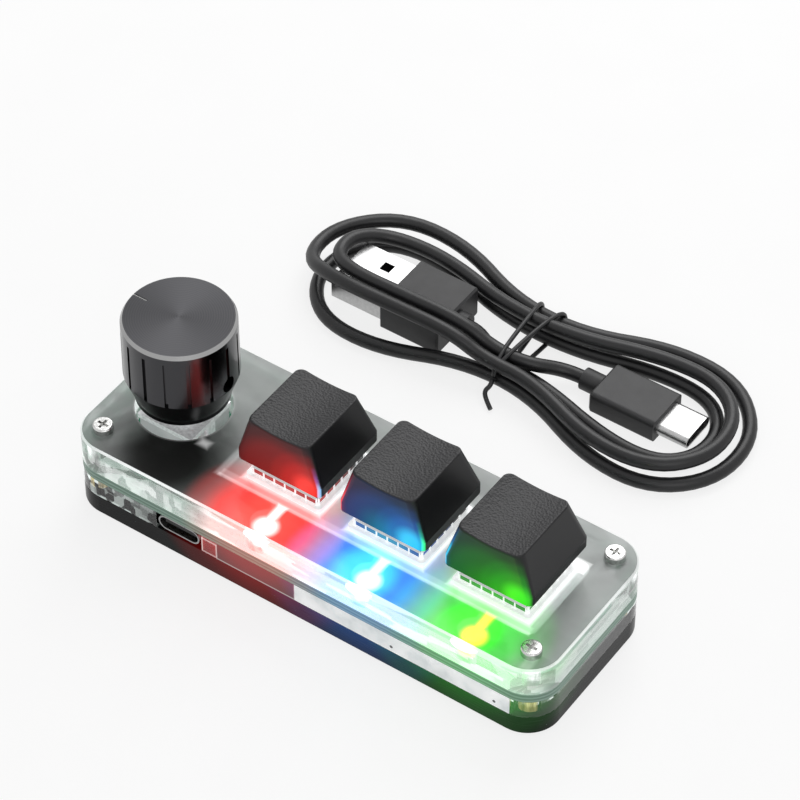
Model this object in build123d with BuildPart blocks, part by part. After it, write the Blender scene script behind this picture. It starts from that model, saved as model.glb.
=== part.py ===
from build123d import *
import math
import os

# A desk macro keypad: three key switches and a push-and-turn knob on a stack of acrylic and board.
# Millimetres. X runs along the case from the knob to the last key, -Y is the front, Z is up.
# The origin is on the desk, under the middle of the case.

# Case outline and the layers of the stack, from the desk up
case_length = 101.0
case_width = 35.6
case_corner_radius = 6.5
foot_proud = 0.6
base_thickness = 4.1
spacer_thickness = 4.0
board_thickness = 2.0
top_thickness = 6.3
edge_break = 0.4

# Places along the case, as shares of its length from the middle
knob_share = -0.3713
port_share = -0.2545
strip_start_share = -0.005
strip_length_share = 0.4455
first_key_share = -0.099
key_pitch_share = 0.2163

# How far a cutting shape runs past the face that it cuts
overrun = 1.0
# Play between pieces that are put together and stay together
loose_fit = 0.1
# Play all round a piece that slides or turns in another
running_fit = 0.05
# Places along a wound wire or lead at which its gap to itself is measured
gap_samples = 900

# Screws, pillars and feet
screw_inset_x = 4.9
screw_inset_y = 4.7
screw_diameter = 2.0
screw_head_diameter = 3.8
screw_head_height = 1.4
screw_dome = 0.35
screw_reach_in_pillar = 1.9
cross_length = 2.2
cross_width = 0.55
cross_depth = 0.7
pillar_diameter = 3.4
base_counterbore_depth = 1.6
foot_diameter = 8.0
foot_recess = 0.5
foot_inset_x = 11.5
foot_inset_y = 5.8
foot_round = 0.3

# Spacer frame and the opal strip let into its front
spacer_wall = 2.6
strip_depth = 1.8

# Keys: three switches in a row
key_count = 3
key_travel = 4.0

# Cavity milled into the underside of the top plate, around all the switches
plate_web = 1.5
cavity_left_margin = 12.6
cavity_right_margin = 9.7
cavity_half_depth = 9.8
cavity_corner_radius = 2.0

# Switch housings
switch_size = 14.0
flange_size = 16.0
flange_thickness = 1.0
flange_corner_radius = 0.8
housing_wall = 1.1
housing_floor = 1.0
guide_outer_diameter = 4.4
guide_height = 3.7
peg_diameter = 4.0
peg_length = 3.4
peg_floor = 2.2
cover_height = 5.6
cover_base_size = 13.6
cover_top_width = 10.4
cover_top_depth = 11.0
cover_corner_radius = 1.0
cover_wall = 1.0
cover_opening_width = 7.4
cover_opening_depth = 6.6

# Switch stem, spring and pins
stem_width = 7.0
stem_depth = 6.2
shoulder_width = 8.2
shoulder_depth = 7.6
shoulder_thickness = 1.6
shoulder_gap = 0.2
stem_cross_length = 4.0
stem_cross_width = 1.2
stem_cross_height = 3.6
stem_pin_diameter = 3.0
stem_pin_length = 6.8
spring_mean_diameter = 5.4
spring_wire = 0.5
spring_turns = 6
pin_width = 1.0
pin_thickness = 0.3
pin_length = 3.1
pin_hole_diameter = 1.4
pin_grid = 1.27
pin_grid_steps = [(-3, 2), (2, 4)]

# Keycap: near-vertical front, tapered sides and back, dished top
cap_base_size = 18.0
cap_base_radius = 1.2
cap_skirt = 2.0
cap_height = 10.9
cap_top_width = 12.9
cap_top_depth = 15.7
cap_top_shift = -1.1
cap_top_radius = 1.6
cap_dish = 0.8
cap_wall = 1.4
cap_roof = 2.2
cap_press_gap = 0.4
cap_post_diameter = 5.5
cap_edge_round = 0.35

# Colour lamps on the board in front of the switches, and the keyhole pockets over them
lamp_size = 3.5
lamp_body_height = 1.2
lamp_lens_diameter = 2.8
lamp_lens_height = 0.5
lamp_forward_share = 0.5556
lamp_pocket_diameter = 5.4
lamp_pocket_depth = 2.6
lamp_slot_width = 2.2

# Rotary encoder
encoder_width = 11.0
encoder_depth = 11.8
encoder_base_height = 4.6
encoder_floor = 1.6
encoder_cavity_diameter = 10.4
encoder_cover_thickness = 1.0
encoder_hole_diameter = 17.8
encoder_lug_width = 2.2
encoder_lug_thickness = 0.5
encoder_lug_length = 2.4
bushing_flange_diameter = 9.0
bushing_flange_thickness = 0.8
bushing_diameter = 7.0
bushing_length = 4.6
shaft_diameter = 6.0
shaft_neck_diameter = 4.0
shaft_neck_length = 1.75
shaft_length = 20.2
shaft_flat_length = 9.5
shaft_flat_depth = 1.5
rotor_diameter = 9.6
rotor_thickness = 1.1
rotor_lift = 0.3
rotor_notches = 20
rotor_notch_diameter = 0.7
press_travel = 0.5
dome_diameter = 5.0
dome_height = 0.7
dome_edge = 0.25
dome_pocket_depth = 0.9
plunger_diameter = 3.0
plunger_cap_diameter = 4.4
plunger_cap_thickness = 0.5
plunger_spare = 0.05
encoder_pin_diameter = 0.8
encoder_pin_length = 3.4
encoder_pin_hole_diameter = 1.2
encoder_pin_pitch = 2.5
encoder_pin_spacing_y = 9.2
encoder_front_pin_count = 3
encoder_back_pin_count = 2

# Knob
knob_lift = 3.6
knob_height = 18.5
knob_top_diameter = 19.9
knob_rim_diameter = 20.8
knob_widest_diameter = 21.0
knob_foot_diameter = 17.4
knob_rim_height = 0.75
knob_collar_height = 1.3
knob_band_height = 6.0
knob_foot_height = 0.8
knob_grooves = 16
knob_groove_width = 0.7
knob_groove_depth = 0.5
knob_recess_diameter = 13.0
knob_recess_depth = 5.2
knob_bore_end = 3.2
knob_pointer_length = 3.4
knob_pointer_width = 0.35
knob_pointer_depth = 0.2
set_screw_diameter = 3.0
set_screw_length = 4.6
set_screw_socket = 1.5
set_screw_height = 7.6

# USB-C receptacle under the front edge of the board
port_width = 9.0
port_height = 3.2
port_depth = 7.4
port_wall = 0.3
port_side_gap = 0.5
port_back_block = 2.2
tongue_width = 6.7
tongue_thickness = 0.7
tongue_setback = 0.6
contact_count = 12
contact_width = 0.28
contact_height = 0.06
contact_length = 3.2
contact_pitch = 0.5

# Parts soldered under the board
chip_size = 7.0
chip_thickness = 1.0
chip_corner_break = 0.5
chip_back_share = 0.08
chip_leg_count = 12
chip_leg_pitch = 0.5
chip_leg_width = 0.22
chip_leg_length = 0.9
chip_leg_thickness = 0.15
crystal_size = (3.2, 2.5, 0.8)
crystal_gap = 1.5
passive_size = (1.6, 0.8, 0.5)
passive_pitch = 3.0
passive_count = 5
passive_row_share = 0.29

# Lead: unplugged, tied in a hank that lies behind the case. Places are from the middle of its waist.
lead_diameter = 2.8
lead_shift = -3.0
lead_setback = 40.2
lead_turns = 3
lead_lobe_reach = 31.0
lead_inner_lobe = 8.4
lead_lobe_step = 6.0
lead_waist_share = 0.55
lead_layer_gap = 0.5
lead_climb_turns = 0.5
outer_crossing = 9.2
inner_crossing = 5.8
crossing_lean = 0.6
tie_thickness = 0.5
tie_width = 1.8
tie_play = 0.1
tie_tail_diameter = 0.9
tie_tail_length = 5.0

# Small plug, on the desk inside one lobe of the hank
c_plug_place = (13.5, 0.8)
c_collar_diameter = 4.4
c_collar_length = 4.0
c_body_length = 14.0
c_body_width = 10.0
c_body_height = 5.0
c_body_round = 1.0
c_tip_length = 6.6
c_tip_width = 8.3
c_tip_height = 2.5
c_tip_wall = 0.3

# Large plug, on the desk inside the other lobe, under the strands that cross it
a_plug_place = (-11.5, -1.0)
a_collar_diameter = 4.6
a_collar_length = 2.2
a_body_length = 13.0
a_body_width = 14.0
a_body_height = 7.0
a_body_round = 0.8
a_tip_length = 12.0
a_tip_width = 12.0
a_tip_height = 4.5
a_tip_wall = 0.35
a_window_size = 2.2
a_window_pitch = 5.0
a_window_setback = 5.0
a_tongue_width = 10.8
a_tongue_thickness = 1.8

# Places that follow from the case's length and width
case_front = -case_width / 2
screw_spacing_x = case_length - 2 * screw_inset_x
screw_spacing_y = case_width - 2 * screw_inset_y
foot_spacing_x = case_length - 2 * foot_inset_x
foot_spacing_y = case_width - 2 * foot_inset_y
knob_x = case_length * knob_share
port_x = case_length * port_share
strip_length = case_length * strip_length_share
strip_x = case_length * strip_start_share + strip_length / 2
key_pitch = case_length * key_pitch_share
first_key_x = case_length * first_key_share
key_places = [first_key_x + key_pitch * number for number in range(key_count)]
gap_places = [key_x + key_pitch / 2 for key_x in key_places[:-1]]
lamp_set_forward = switch_size / 2 + (case_width - switch_size) / 2 * lamp_forward_share
pin_places = [(pin_grid * across, pin_grid * along) for across, along in pin_grid_steps]
encoder_pin_rows = [
    (encoder_front_pin_count, -encoder_pin_spacing_y / 2),
    (encoder_back_pin_count, encoder_pin_spacing_y / 2),
]

# Heights that follow from the stack
base_z = foot_proud
spacer_z = base_z + base_thickness
board_z = spacer_z + spacer_thickness
plate_z = board_z + board_thickness
deck_z = plate_z + top_thickness

# Heights inside a switch that follow from the deck
flange_top_z = deck_z + flange_thickness
cover_top_z = flange_top_z + cover_height
shoulder_top_z = cover_top_z - cover_wall - shoulder_gap
shoulder_low_z = shoulder_top_z - shoulder_thickness
housing_floor_z = plate_z + housing_floor
cap_rim_z = flange_top_z + key_travel + cap_press_gap
cap_post_low_z = cover_top_z

# Heights inside the encoder that follow from the board
encoder_cover_z = plate_z + encoder_base_height
bushing_z = encoder_cover_z + encoder_cover_thickness
encoder_floor_z = plate_z + encoder_floor
plunger_low_z = plate_z + dome_height + press_travel + plunger_spare
plunger_cap_z = encoder_floor_z + press_travel + plunger_spare
shaft_low_z = plunger_cap_z + plunger_cap_thickness
knob_z = deck_z + knob_lift

os.makedirs("parts", exist_ok=True)
upright = (Align.CENTER, Align.CENTER, Align.MIN)
hanging = (Align.CENTER, Align.CENTER, Align.MAX)


def keep(piece, name):
    """Names a finished piece and writes its file."""
    piece.label = name
    export_step(piece, f"parts/{name}.step")


def screw_pattern():
    """The four corners that the case screws, pillars and base screws share."""
    return GridLocations(screw_spacing_x, screw_spacing_y, 2, 2)


def draw_through(points, directions):
    """Joins points by pairs of arcs that keep the given direction at each point."""
    starts = zip(points, directions)
    ends = zip(points[1:], directions[1:])
    for (start, go), (end, arrive) in zip(starts, ends):
        span = end - start
        turn = 1 - go.dot(arrive)
        pull = span.dot(go + arrive)
        if turn:
            reach = (math.sqrt(pull**2 + 2 * turn * span.dot(span)) - pull) / (2 * turn)
        else:
            reach = span.dot(span) / (2 * pull)
        near = start + go * reach
        far = end - arrive * reach
        middle = (near + far) / 2
        TangentArc(start, middle, tangent=go)
        TangentArc(middle, end, tangent=far - near)


def gap_to_itself(line, thickness):
    """Least clear distance between stretches of a tube that lie along one line."""
    stations = [tuple(line.position_at(count / gap_samples)) for count in range(gap_samples + 1)]
    apart = math.ceil(3 * thickness * gap_samples / line.length)
    return min(
        math.dist(here, there) - thickness
        for count, here in enumerate(stations)
        for there in stations[count + apart :]
    )


# Base plate: screw heads and feet are let in from below
under_base = Plane((0, 0, base_z), z_dir=(0, 0, -1))
with BuildPart() as base_plate:
    with BuildSketch(Plane.XY.offset(base_z)):
        RectangleRounded(case_length, case_width, case_corner_radius)
    extrude(amount=base_thickness)
    with Locations(under_base):
        with screw_pattern():
            CounterBoreHole(
                screw_diameter / 2 + loose_fit, screw_head_diameter / 2 + loose_fit, base_counterbore_depth
            )
    with BuildSketch(Plane.XY.offset(base_z)):
        with GridLocations(foot_spacing_x, foot_spacing_y, 2, 2):
            Circle(foot_diameter / 2 + loose_fit)
    extrude(amount=foot_recess, mode=Mode.SUBTRACT)
keep(base_plate.part, "base_plate")

# Rubber feet
with BuildPart() as rubber_feet:
    with BuildSketch():
        with GridLocations(foot_spacing_x, foot_spacing_y, 2, 2):
            Circle(foot_diameter / 2)
    extrude(amount=foot_proud + foot_recess)
    chamfer(rubber_feet.edges().group_by(Axis.Z)[0], foot_round)
keep(rubber_feet.part, "rubber_feet")

# Spacer frame: open in the middle, notched at the front for the port and for the opal strip
with BuildPart() as spacer_frame:
    with BuildSketch(Plane.XY.offset(spacer_z)):
        RectangleRounded(case_length, case_width, case_corner_radius)
        inner_radius = case_corner_radius - spacer_wall
        RectangleRounded(
            case_length - 2 * spacer_wall, case_width - 2 * spacer_wall, inner_radius, mode=Mode.SUBTRACT
        )
        with Locations((port_x, case_front)):
            Rectangle(port_width + 2 * port_side_gap, 2 * (spacer_wall + overrun), mode=Mode.SUBTRACT)
        with Locations((strip_x, case_front)):
            Rectangle(strip_length + 2 * loose_fit, 2 * strip_depth, mode=Mode.SUBTRACT)
        with screw_pattern():
            Circle(pillar_diameter / 2 + loose_fit, mode=Mode.SUBTRACT)
    extrude(amount=spacer_thickness)
keep(spacer_frame.part, "spacer_frame")

# Opal strip in the front of the spacer
with BuildPart() as light_strip:
    with BuildSketch(Plane.XY.offset(spacer_z)):
        with Locations((strip_x, case_front)):
            Rectangle(strip_length, strip_depth - loose_fit, align=(Align.CENTER, Align.MIN))
    extrude(amount=spacer_thickness)
keep(light_strip.part, "light_strip")

# Brass pillars between base and board, bored for a screw from each end
with BuildPart() as pillars:
    with BuildSketch(Plane.XY.offset(spacer_z)):
        with screw_pattern():
            Circle(pillar_diameter / 2)
            Circle(screw_diameter / 2 + running_fit, mode=Mode.SUBTRACT)
    extrude(amount=spacer_thickness)
keep(pillars.part, "pillars")

# Board: clearance for the screws, switch pegs and pins, and encoder legs
with BuildPart() as circuit_board:
    with BuildSketch(Plane.XY.offset(board_z)):
        RectangleRounded(case_length, case_width, case_corner_radius)
        with screw_pattern():
            Circle(screw_diameter / 2 + loose_fit, mode=Mode.SUBTRACT)
        for key_x in key_places:
            with Locations((key_x, 0)):
                Circle(peg_diameter / 2 + loose_fit, mode=Mode.SUBTRACT)
            with Locations([(key_x + across, along) for across, along in pin_places]):
                Circle(pin_hole_diameter / 2, mode=Mode.SUBTRACT)
        for pin_count, along in encoder_pin_rows:
            with Locations((knob_x, along)):
                with GridLocations(encoder_pin_pitch, encoder_pin_pitch, pin_count, 1):
                    Circle(encoder_pin_hole_diameter / 2, mode=Mode.SUBTRACT)
        with Locations((knob_x, 0)):
            with GridLocations(encoder_width + encoder_lug_thickness, encoder_width, 2, 1):
                Rectangle(
                    encoder_lug_thickness + 2 * loose_fit,
                    encoder_lug_width + 2 * loose_fit,
                    mode=Mode.SUBTRACT,
                )
    extrude(amount=board_thickness)
keep(circuit_board.part, "circuit_board")

# Top plate: a thick block, milled out underneath so that a thin web carries the switches
cavity_left = key_places[0] - cavity_left_margin
cavity_right = key_places[-1] + cavity_right_margin
with BuildPart() as top_plate:
    with BuildSketch(Plane.XY.offset(plate_z)):
        RectangleRounded(case_length, case_width, case_corner_radius)
        with screw_pattern():
            Circle(screw_diameter / 2 + loose_fit, mode=Mode.SUBTRACT)
        with Locations((knob_x, 0)):
            Circle(encoder_hole_diameter / 2, mode=Mode.SUBTRACT)
        with Locations([(key_x, 0) for key_x in key_places]):
            Rectangle(switch_size + 2 * loose_fit, switch_size + 2 * loose_fit, mode=Mode.SUBTRACT)
    extrude(amount=top_thickness)
    outline = top_plate.faces().sort_by(Axis.Z)[-1].outer_wire().edges()
    chamfer(outline, edge_break)
    with BuildSketch(Plane.XY.offset(plate_z)):
        with Locations(((cavity_left + cavity_right) / 2, 0)):
            RectangleRounded(cavity_right - cavity_left, 2 * cavity_half_depth, cavity_corner_radius)
    extrude(amount=top_thickness - plate_web, mode=Mode.SUBTRACT)
    with BuildSketch(Plane.XY.offset(plate_z)):
        with Locations([(key_x, -lamp_set_forward) for key_x in key_places]):
            Circle(lamp_pocket_diameter / 2)
            Rectangle(lamp_slot_width, lamp_set_forward, align=(Align.CENTER, Align.MIN))
    extrude(amount=lamp_pocket_depth, mode=Mode.SUBTRACT)
keep(top_plate.part, "top_plate")

# Case screws: domed heads on the deck, shanks down into the pillars
case_screw_low_z = spacer_z + spacer_thickness - screw_reach_in_pillar
with BuildPart() as case_screws:
    with BuildSketch(Plane.XY.offset(case_screw_low_z)):
        with screw_pattern():
            Circle(screw_diameter / 2)
    extrude(amount=deck_z - case_screw_low_z)
    with BuildSketch(Plane.XY.offset(deck_z)):
        with screw_pattern():
            Circle(screw_head_diameter / 2)
    extrude(amount=screw_head_height)
    fillet(case_screws.edges().group_by(Axis.Z)[-1], screw_dome)
    with BuildSketch(Plane.XY.offset(deck_z + screw_head_height)):
        with screw_pattern():
            Rectangle(cross_length, cross_width)
            Rectangle(cross_width, cross_length)
    extrude(amount=-cross_depth, mode=Mode.SUBTRACT)
keep(case_screws.part, "case_screws")

# Base screws: heads in the counterbores, shanks up into the pillars
base_head_low_z = base_z + base_counterbore_depth - screw_head_height
with BuildPart() as base_screws:
    with BuildSketch(Plane.XY.offset(base_head_low_z)):
        with screw_pattern():
            Circle(screw_head_diameter / 2)
    extrude(amount=screw_head_height)
    fillet(base_screws.edges().group_by(Axis.Z)[0], screw_dome)
    with BuildSketch(Plane.XY.offset(base_head_low_z)):
        with screw_pattern():
            Rectangle(cross_length, cross_width)
            Rectangle(cross_width, cross_length)
    extrude(amount=cross_depth, mode=Mode.SUBTRACT)
    with BuildSketch(Plane.XY.offset(base_head_low_z + screw_head_height)):
        with screw_pattern():
            Circle(screw_diameter / 2)
    extrude(amount=base_thickness - base_counterbore_depth + screw_reach_in_pillar)
keep(base_screws.part, "base_screws")


def build_lower_housing(key_x):
    """Switch body: its flange rests on the deck, its peg goes through the board."""
    with BuildPart() as housing:
        with BuildSketch(Plane((key_x, 0, plate_z))):
            Rectangle(switch_size, switch_size)
        extrude(amount=top_thickness)
        with BuildSketch(Plane((key_x, 0, deck_z))):
            RectangleRounded(flange_size, flange_size, flange_corner_radius)
        extrude(amount=flange_thickness)
        with BuildSketch(Plane((key_x, 0, housing_floor_z))):
            Rectangle(switch_size - 2 * housing_wall, switch_size - 2 * housing_wall)
        extrude(amount=flange_top_z - housing_floor_z, mode=Mode.SUBTRACT)
        with BuildSketch(Plane((key_x, 0, housing_floor_z))):
            Circle(guide_outer_diameter / 2)
        extrude(amount=guide_height)
        with BuildSketch(Plane((key_x, 0, plate_z))):
            Circle(peg_diameter / 2)
        extrude(amount=-peg_length)
        with BuildSketch(Plane((key_x, 0, plate_z - peg_length + peg_floor))):
            Circle(stem_pin_diameter / 2 + running_fit)
        extrude(amount=peg_length + housing_floor + guide_height, mode=Mode.SUBTRACT)
        with BuildSketch(Plane((key_x, 0, plate_z))):
            with Locations(pin_places):
                Rectangle(pin_width + 2 * running_fit, pin_thickness + 2 * running_fit)
        extrude(amount=housing_floor, mode=Mode.SUBTRACT)
    return housing.part


def build_upper_housing(key_x):
    """Switch cover: a tapered hood with a window for the stem."""
    with BuildPart() as cover:
        with BuildSketch(Plane((key_x, 0, flange_top_z))):
            RectangleRounded(cover_base_size, cover_base_size, cover_corner_radius)
        with BuildSketch(Plane((key_x, 0, cover_top_z))):
            RectangleRounded(cover_top_width, cover_top_depth, cover_corner_radius)
        loft()
        with BuildSketch(Plane((key_x, 0, flange_top_z))):
            Rectangle(cover_base_size - 2 * cover_wall, cover_base_size - 2 * cover_wall)
        with BuildSketch(Plane((key_x, 0, cover_top_z - cover_wall))):
            Rectangle(cover_top_width - cover_wall, cover_top_depth - cover_wall)
        loft(mode=Mode.SUBTRACT)
        with BuildSketch(Plane((key_x, 0, cover_top_z))):
            Rectangle(cover_opening_width, cover_opening_depth)
        extrude(amount=-2 * cover_wall, mode=Mode.SUBTRACT)
    return cover.part


def build_stem(key_x):
    """Slider: cross for the keycap on top, shoulder under the cover, pin in the guide."""
    with BuildPart() as stem:
        with BuildSketch(Plane((key_x, 0, shoulder_low_z))):
            Rectangle(shoulder_width, shoulder_depth)
        extrude(amount=shoulder_thickness)
        with BuildSketch(Plane((key_x, 0, shoulder_top_z))):
            Rectangle(stem_width, stem_depth)
        extrude(amount=cover_top_z - shoulder_top_z)
        with BuildSketch(Plane((key_x, 0, cover_top_z))):
            Rectangle(stem_cross_length, stem_cross_width)
            Rectangle(stem_cross_width, stem_cross_length)
        extrude(amount=stem_cross_height)
        with BuildSketch(Plane((key_x, 0, shoulder_low_z))):
            Circle(stem_pin_diameter / 2)
        extrude(amount=-stem_pin_length)
    return stem.part


def build_spring(key_x):
    """Return spring between the housing floor and the stem's shoulder."""
    rise = shoulder_low_z - housing_floor_z - spring_wire
    radius = spring_mean_diameter / 2
    low_z = housing_floor_z + spring_wire / 2
    half_turns = range(2 * spring_turns + 1)
    slope = rise / (spring_turns * 2 * math.pi * radius)
    points = []
    directions = []
    for half in half_turns:
        side = math.cos(half * math.pi)
        points.append(Vector(key_x + side * radius, 0, low_z + rise * half / half_turns[-1]))
        directions.append(Vector(0, side, slope).normalized())
    with BuildPart() as spring:
        with BuildLine() as wire:
            draw_through(points, directions)
        with BuildSketch(Plane(points[0], z_dir=directions[0])):
            Circle(spring_wire / 2)
        sweep(path=wire.line)
    print("spring gap to itself", round(gap_to_itself(wire.wire(), spring_wire), 2))
    return spring.part


def build_pins(key_x):
    """Contact legs, from inside the housing floor down through the board."""
    with BuildPart() as pins:
        with BuildSketch(Plane((key_x, 0, housing_floor_z))):
            with Locations(pin_places):
                Rectangle(pin_width, pin_thickness)
        extrude(amount=-housing_floor - pin_length)
    return pins.part


def build_keycap(key_x):
    """Keycap: straight skirt, tapered sides, dished top, hollow with a post for the stem's cross."""
    roof_height = cap_height - cap_roof
    inner_base = cap_base_size - 2 * cap_wall
    inner_width = cap_top_width - 2 * cap_wall
    inner_depth = cap_top_depth - 2 * cap_wall
    dish_radius = ((cap_top_width / 2) ** 2 + cap_dish**2) / (2 * cap_dish)
    rim = Plane((key_x, 0, cap_rim_z))
    with BuildPart(rim) as cap:
        with BuildSketch(rim):
            RectangleRounded(cap_base_size, cap_base_size, cap_base_radius)
        extrude(amount=cap_skirt)
        with BuildSketch(rim.offset(cap_skirt)):
            RectangleRounded(cap_base_size, cap_base_size, cap_base_radius)
        with BuildSketch(rim.offset(cap_height)):
            with Locations((0, cap_top_shift)):
                RectangleRounded(cap_top_width, cap_top_depth, cap_top_radius)
        loft()
        with Locations((0, 0, cap_height + dish_radius - cap_dish)):
            Cylinder(dish_radius, 2 * cap_base_size, rotation=(90, 0, 0), mode=Mode.SUBTRACT)
        fillet(cap.faces().sort_by(Axis.Z)[-1].edges(), cap_edge_round)
        with BuildSketch(rim):
            RectangleRounded(inner_base, inner_base, cap_base_radius)
        extrude(amount=cap_skirt, mode=Mode.SUBTRACT)
        with BuildSketch(rim.offset(cap_skirt)):
            RectangleRounded(inner_base, inner_base, cap_base_radius)
        with BuildSketch(rim.offset(roof_height)):
            with Locations((0, cap_top_shift)):
                RectangleRounded(inner_width, inner_depth, cap_base_radius)
        loft(mode=Mode.SUBTRACT)
        with BuildSketch(Plane((key_x, 0, cap_post_low_z))):
            Circle(cap_post_diameter / 2)
        extrude(amount=cap_rim_z + roof_height - cap_post_low_z)
        with BuildSketch(Plane((key_x, 0, cap_post_low_z))):
            Rectangle(stem_cross_length + 2 * running_fit, stem_cross_width + 2 * running_fit)
            Rectangle(stem_cross_width + 2 * running_fit, stem_cross_length + 2 * running_fit)
        extrude(amount=stem_cross_height + running_fit, mode=Mode.SUBTRACT)
    return cap.part


def build_lamp(key_x):
    """Colour lamp: square body with a round lens on top."""
    with BuildPart() as lamp:
        with BuildSketch(Plane((key_x, -lamp_set_forward, plate_z))):
            Rectangle(lamp_size, lamp_size)
        extrude(amount=lamp_body_height)
        with BuildSketch(Plane((key_x, -lamp_set_forward, plate_z + lamp_body_height))):
            Circle(lamp_lens_diameter / 2)
        extrude(amount=lamp_lens_height)
    return lamp.part


for number, key_x in enumerate(key_places, start=1):
    keep(build_lower_housing(key_x), f"switch_lower_housing_{number}")
    keep(build_upper_housing(key_x), f"switch_upper_housing_{number}")
    keep(build_stem(key_x), f"switch_stem_{number}")
    keep(build_spring(key_x), f"switch_spring_{number}")
    keep(build_pins(key_x), f"switch_pins_{number}")
    keep(build_keycap(key_x), f"keycap_{number}")
    keep(build_lamp(key_x), f"key_lamp_{number}")

# Encoder base: a cup with a guide hole for the plunger and a pocket for the snap dome below
encoder_seat = Plane((knob_x, 0, plate_z))
with BuildPart(encoder_seat) as encoder_base:
    Box(encoder_width, encoder_depth, encoder_base_height, align=upright)
    Cylinder(dome_diameter / 2 + loose_fit, dome_pocket_depth, align=upright, mode=Mode.SUBTRACT)
    Cylinder(plunger_diameter / 2 + running_fit, encoder_base_height, align=upright, mode=Mode.SUBTRACT)
    with Locations((0, 0, encoder_floor)):
        Cylinder(encoder_cavity_diameter / 2, encoder_base_height, align=upright, mode=Mode.SUBTRACT)
keep(encoder_base.part, "encoder_base")

# Snap dome on the board
with BuildPart(encoder_seat) as encoder_dome:
    Cylinder(dome_diameter / 2, dome_height, align=upright)
    chamfer(encoder_dome.edges().group_by(Axis.Z)[-1], dome_height - dome_edge)
keep(encoder_dome.part, "encoder_dome")

# Encoder cover: a plate with two lugs down through the board
with BuildPart(Plane((knob_x, 0, encoder_cover_z))) as encoder_cover:
    Box(encoder_width + 2 * encoder_lug_thickness, encoder_depth, encoder_cover_thickness, align=upright)
    with GridLocations(encoder_width + encoder_lug_thickness, encoder_width, 2, 1):
        Box(
            encoder_lug_thickness,
            encoder_lug_width,
            encoder_base_height + encoder_lug_length,
            align=hanging,
        )
    Cylinder(shaft_diameter / 2 + loose_fit, 2 * encoder_cover_thickness, mode=Mode.SUBTRACT, align=upright)
keep(encoder_cover.part, "encoder_cover")

# Encoder bushing: flanged sleeve that the shaft turns in
with BuildPart(Plane((knob_x, 0, bushing_z))) as encoder_bushing:
    Cylinder(bushing_flange_diameter / 2, bushing_flange_thickness, align=upright)
    Cylinder(bushing_diameter / 2, bushing_flange_thickness + bushing_length, align=upright)
    chamfer(encoder_bushing.edges().group_by(Axis.Z)[-1], edge_break / 2)
    Cylinder(
        shaft_diameter / 2 + running_fit,
        bushing_flange_thickness + bushing_length + overrun,
        align=upright,
        mode=Mode.SUBTRACT,
    )
keep(encoder_bushing.part, "encoder_bushing")

# Encoder legs, from the board's top face down
with BuildPart() as encoder_pins:
    with BuildSketch(Plane((knob_x, 0, plate_z))):
        for pin_count, along in encoder_pin_rows:
            with Locations((0, along)):
                with GridLocations(encoder_pin_pitch, encoder_pin_pitch, pin_count, 1):
                    Circle(encoder_pin_diameter / 2)
    extrude(amount=-encoder_pin_length)
keep(encoder_pins.part, "encoder_pins")

# Plunger: the shaft stands on its cap, its pin reaches for the dome
with BuildPart(Plane((knob_x, 0, plunger_cap_z))) as encoder_plunger:
    Cylinder(plunger_cap_diameter / 2, plunger_cap_thickness, align=upright)
    Cylinder(plunger_diameter / 2, plunger_cap_z - plunger_low_z, align=hanging)
keep(encoder_plunger.part, "encoder_plunger")

# Shaft: thin neck for the rotor, round in the bushing, flat at the top for the knob
with BuildPart(Plane((knob_x, 0, shaft_low_z))) as encoder_shaft:
    Cylinder(shaft_neck_diameter / 2, shaft_length, align=upright)
    with Locations((0, 0, shaft_neck_length)):
        Cylinder(shaft_diameter / 2, shaft_length - shaft_neck_length, align=upright)
    with Locations((shaft_diameter / 2 - shaft_flat_depth, 0, shaft_length - shaft_flat_length)):
        Box(
            shaft_diameter,
            2 * shaft_diameter,
            shaft_flat_length + overrun,
            align=(Align.MIN, Align.CENTER, Align.MIN),
            mode=Mode.SUBTRACT,
        )
keep(encoder_shaft.part, "encoder_shaft")

# Rotor: notched contact disc on the shaft's neck
with BuildPart() as encoder_rotor:
    with BuildSketch(Plane((knob_x, 0, shaft_low_z + rotor_lift))):
        Circle(rotor_diameter / 2)
        Circle(shaft_neck_diameter / 2 + running_fit, mode=Mode.SUBTRACT)
        with PolarLocations(rotor_diameter / 2, rotor_notches):
            Circle(rotor_notch_diameter / 2, mode=Mode.SUBTRACT)
    extrude(amount=rotor_thickness)
keep(encoder_rotor.part, "encoder_rotor")

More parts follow.
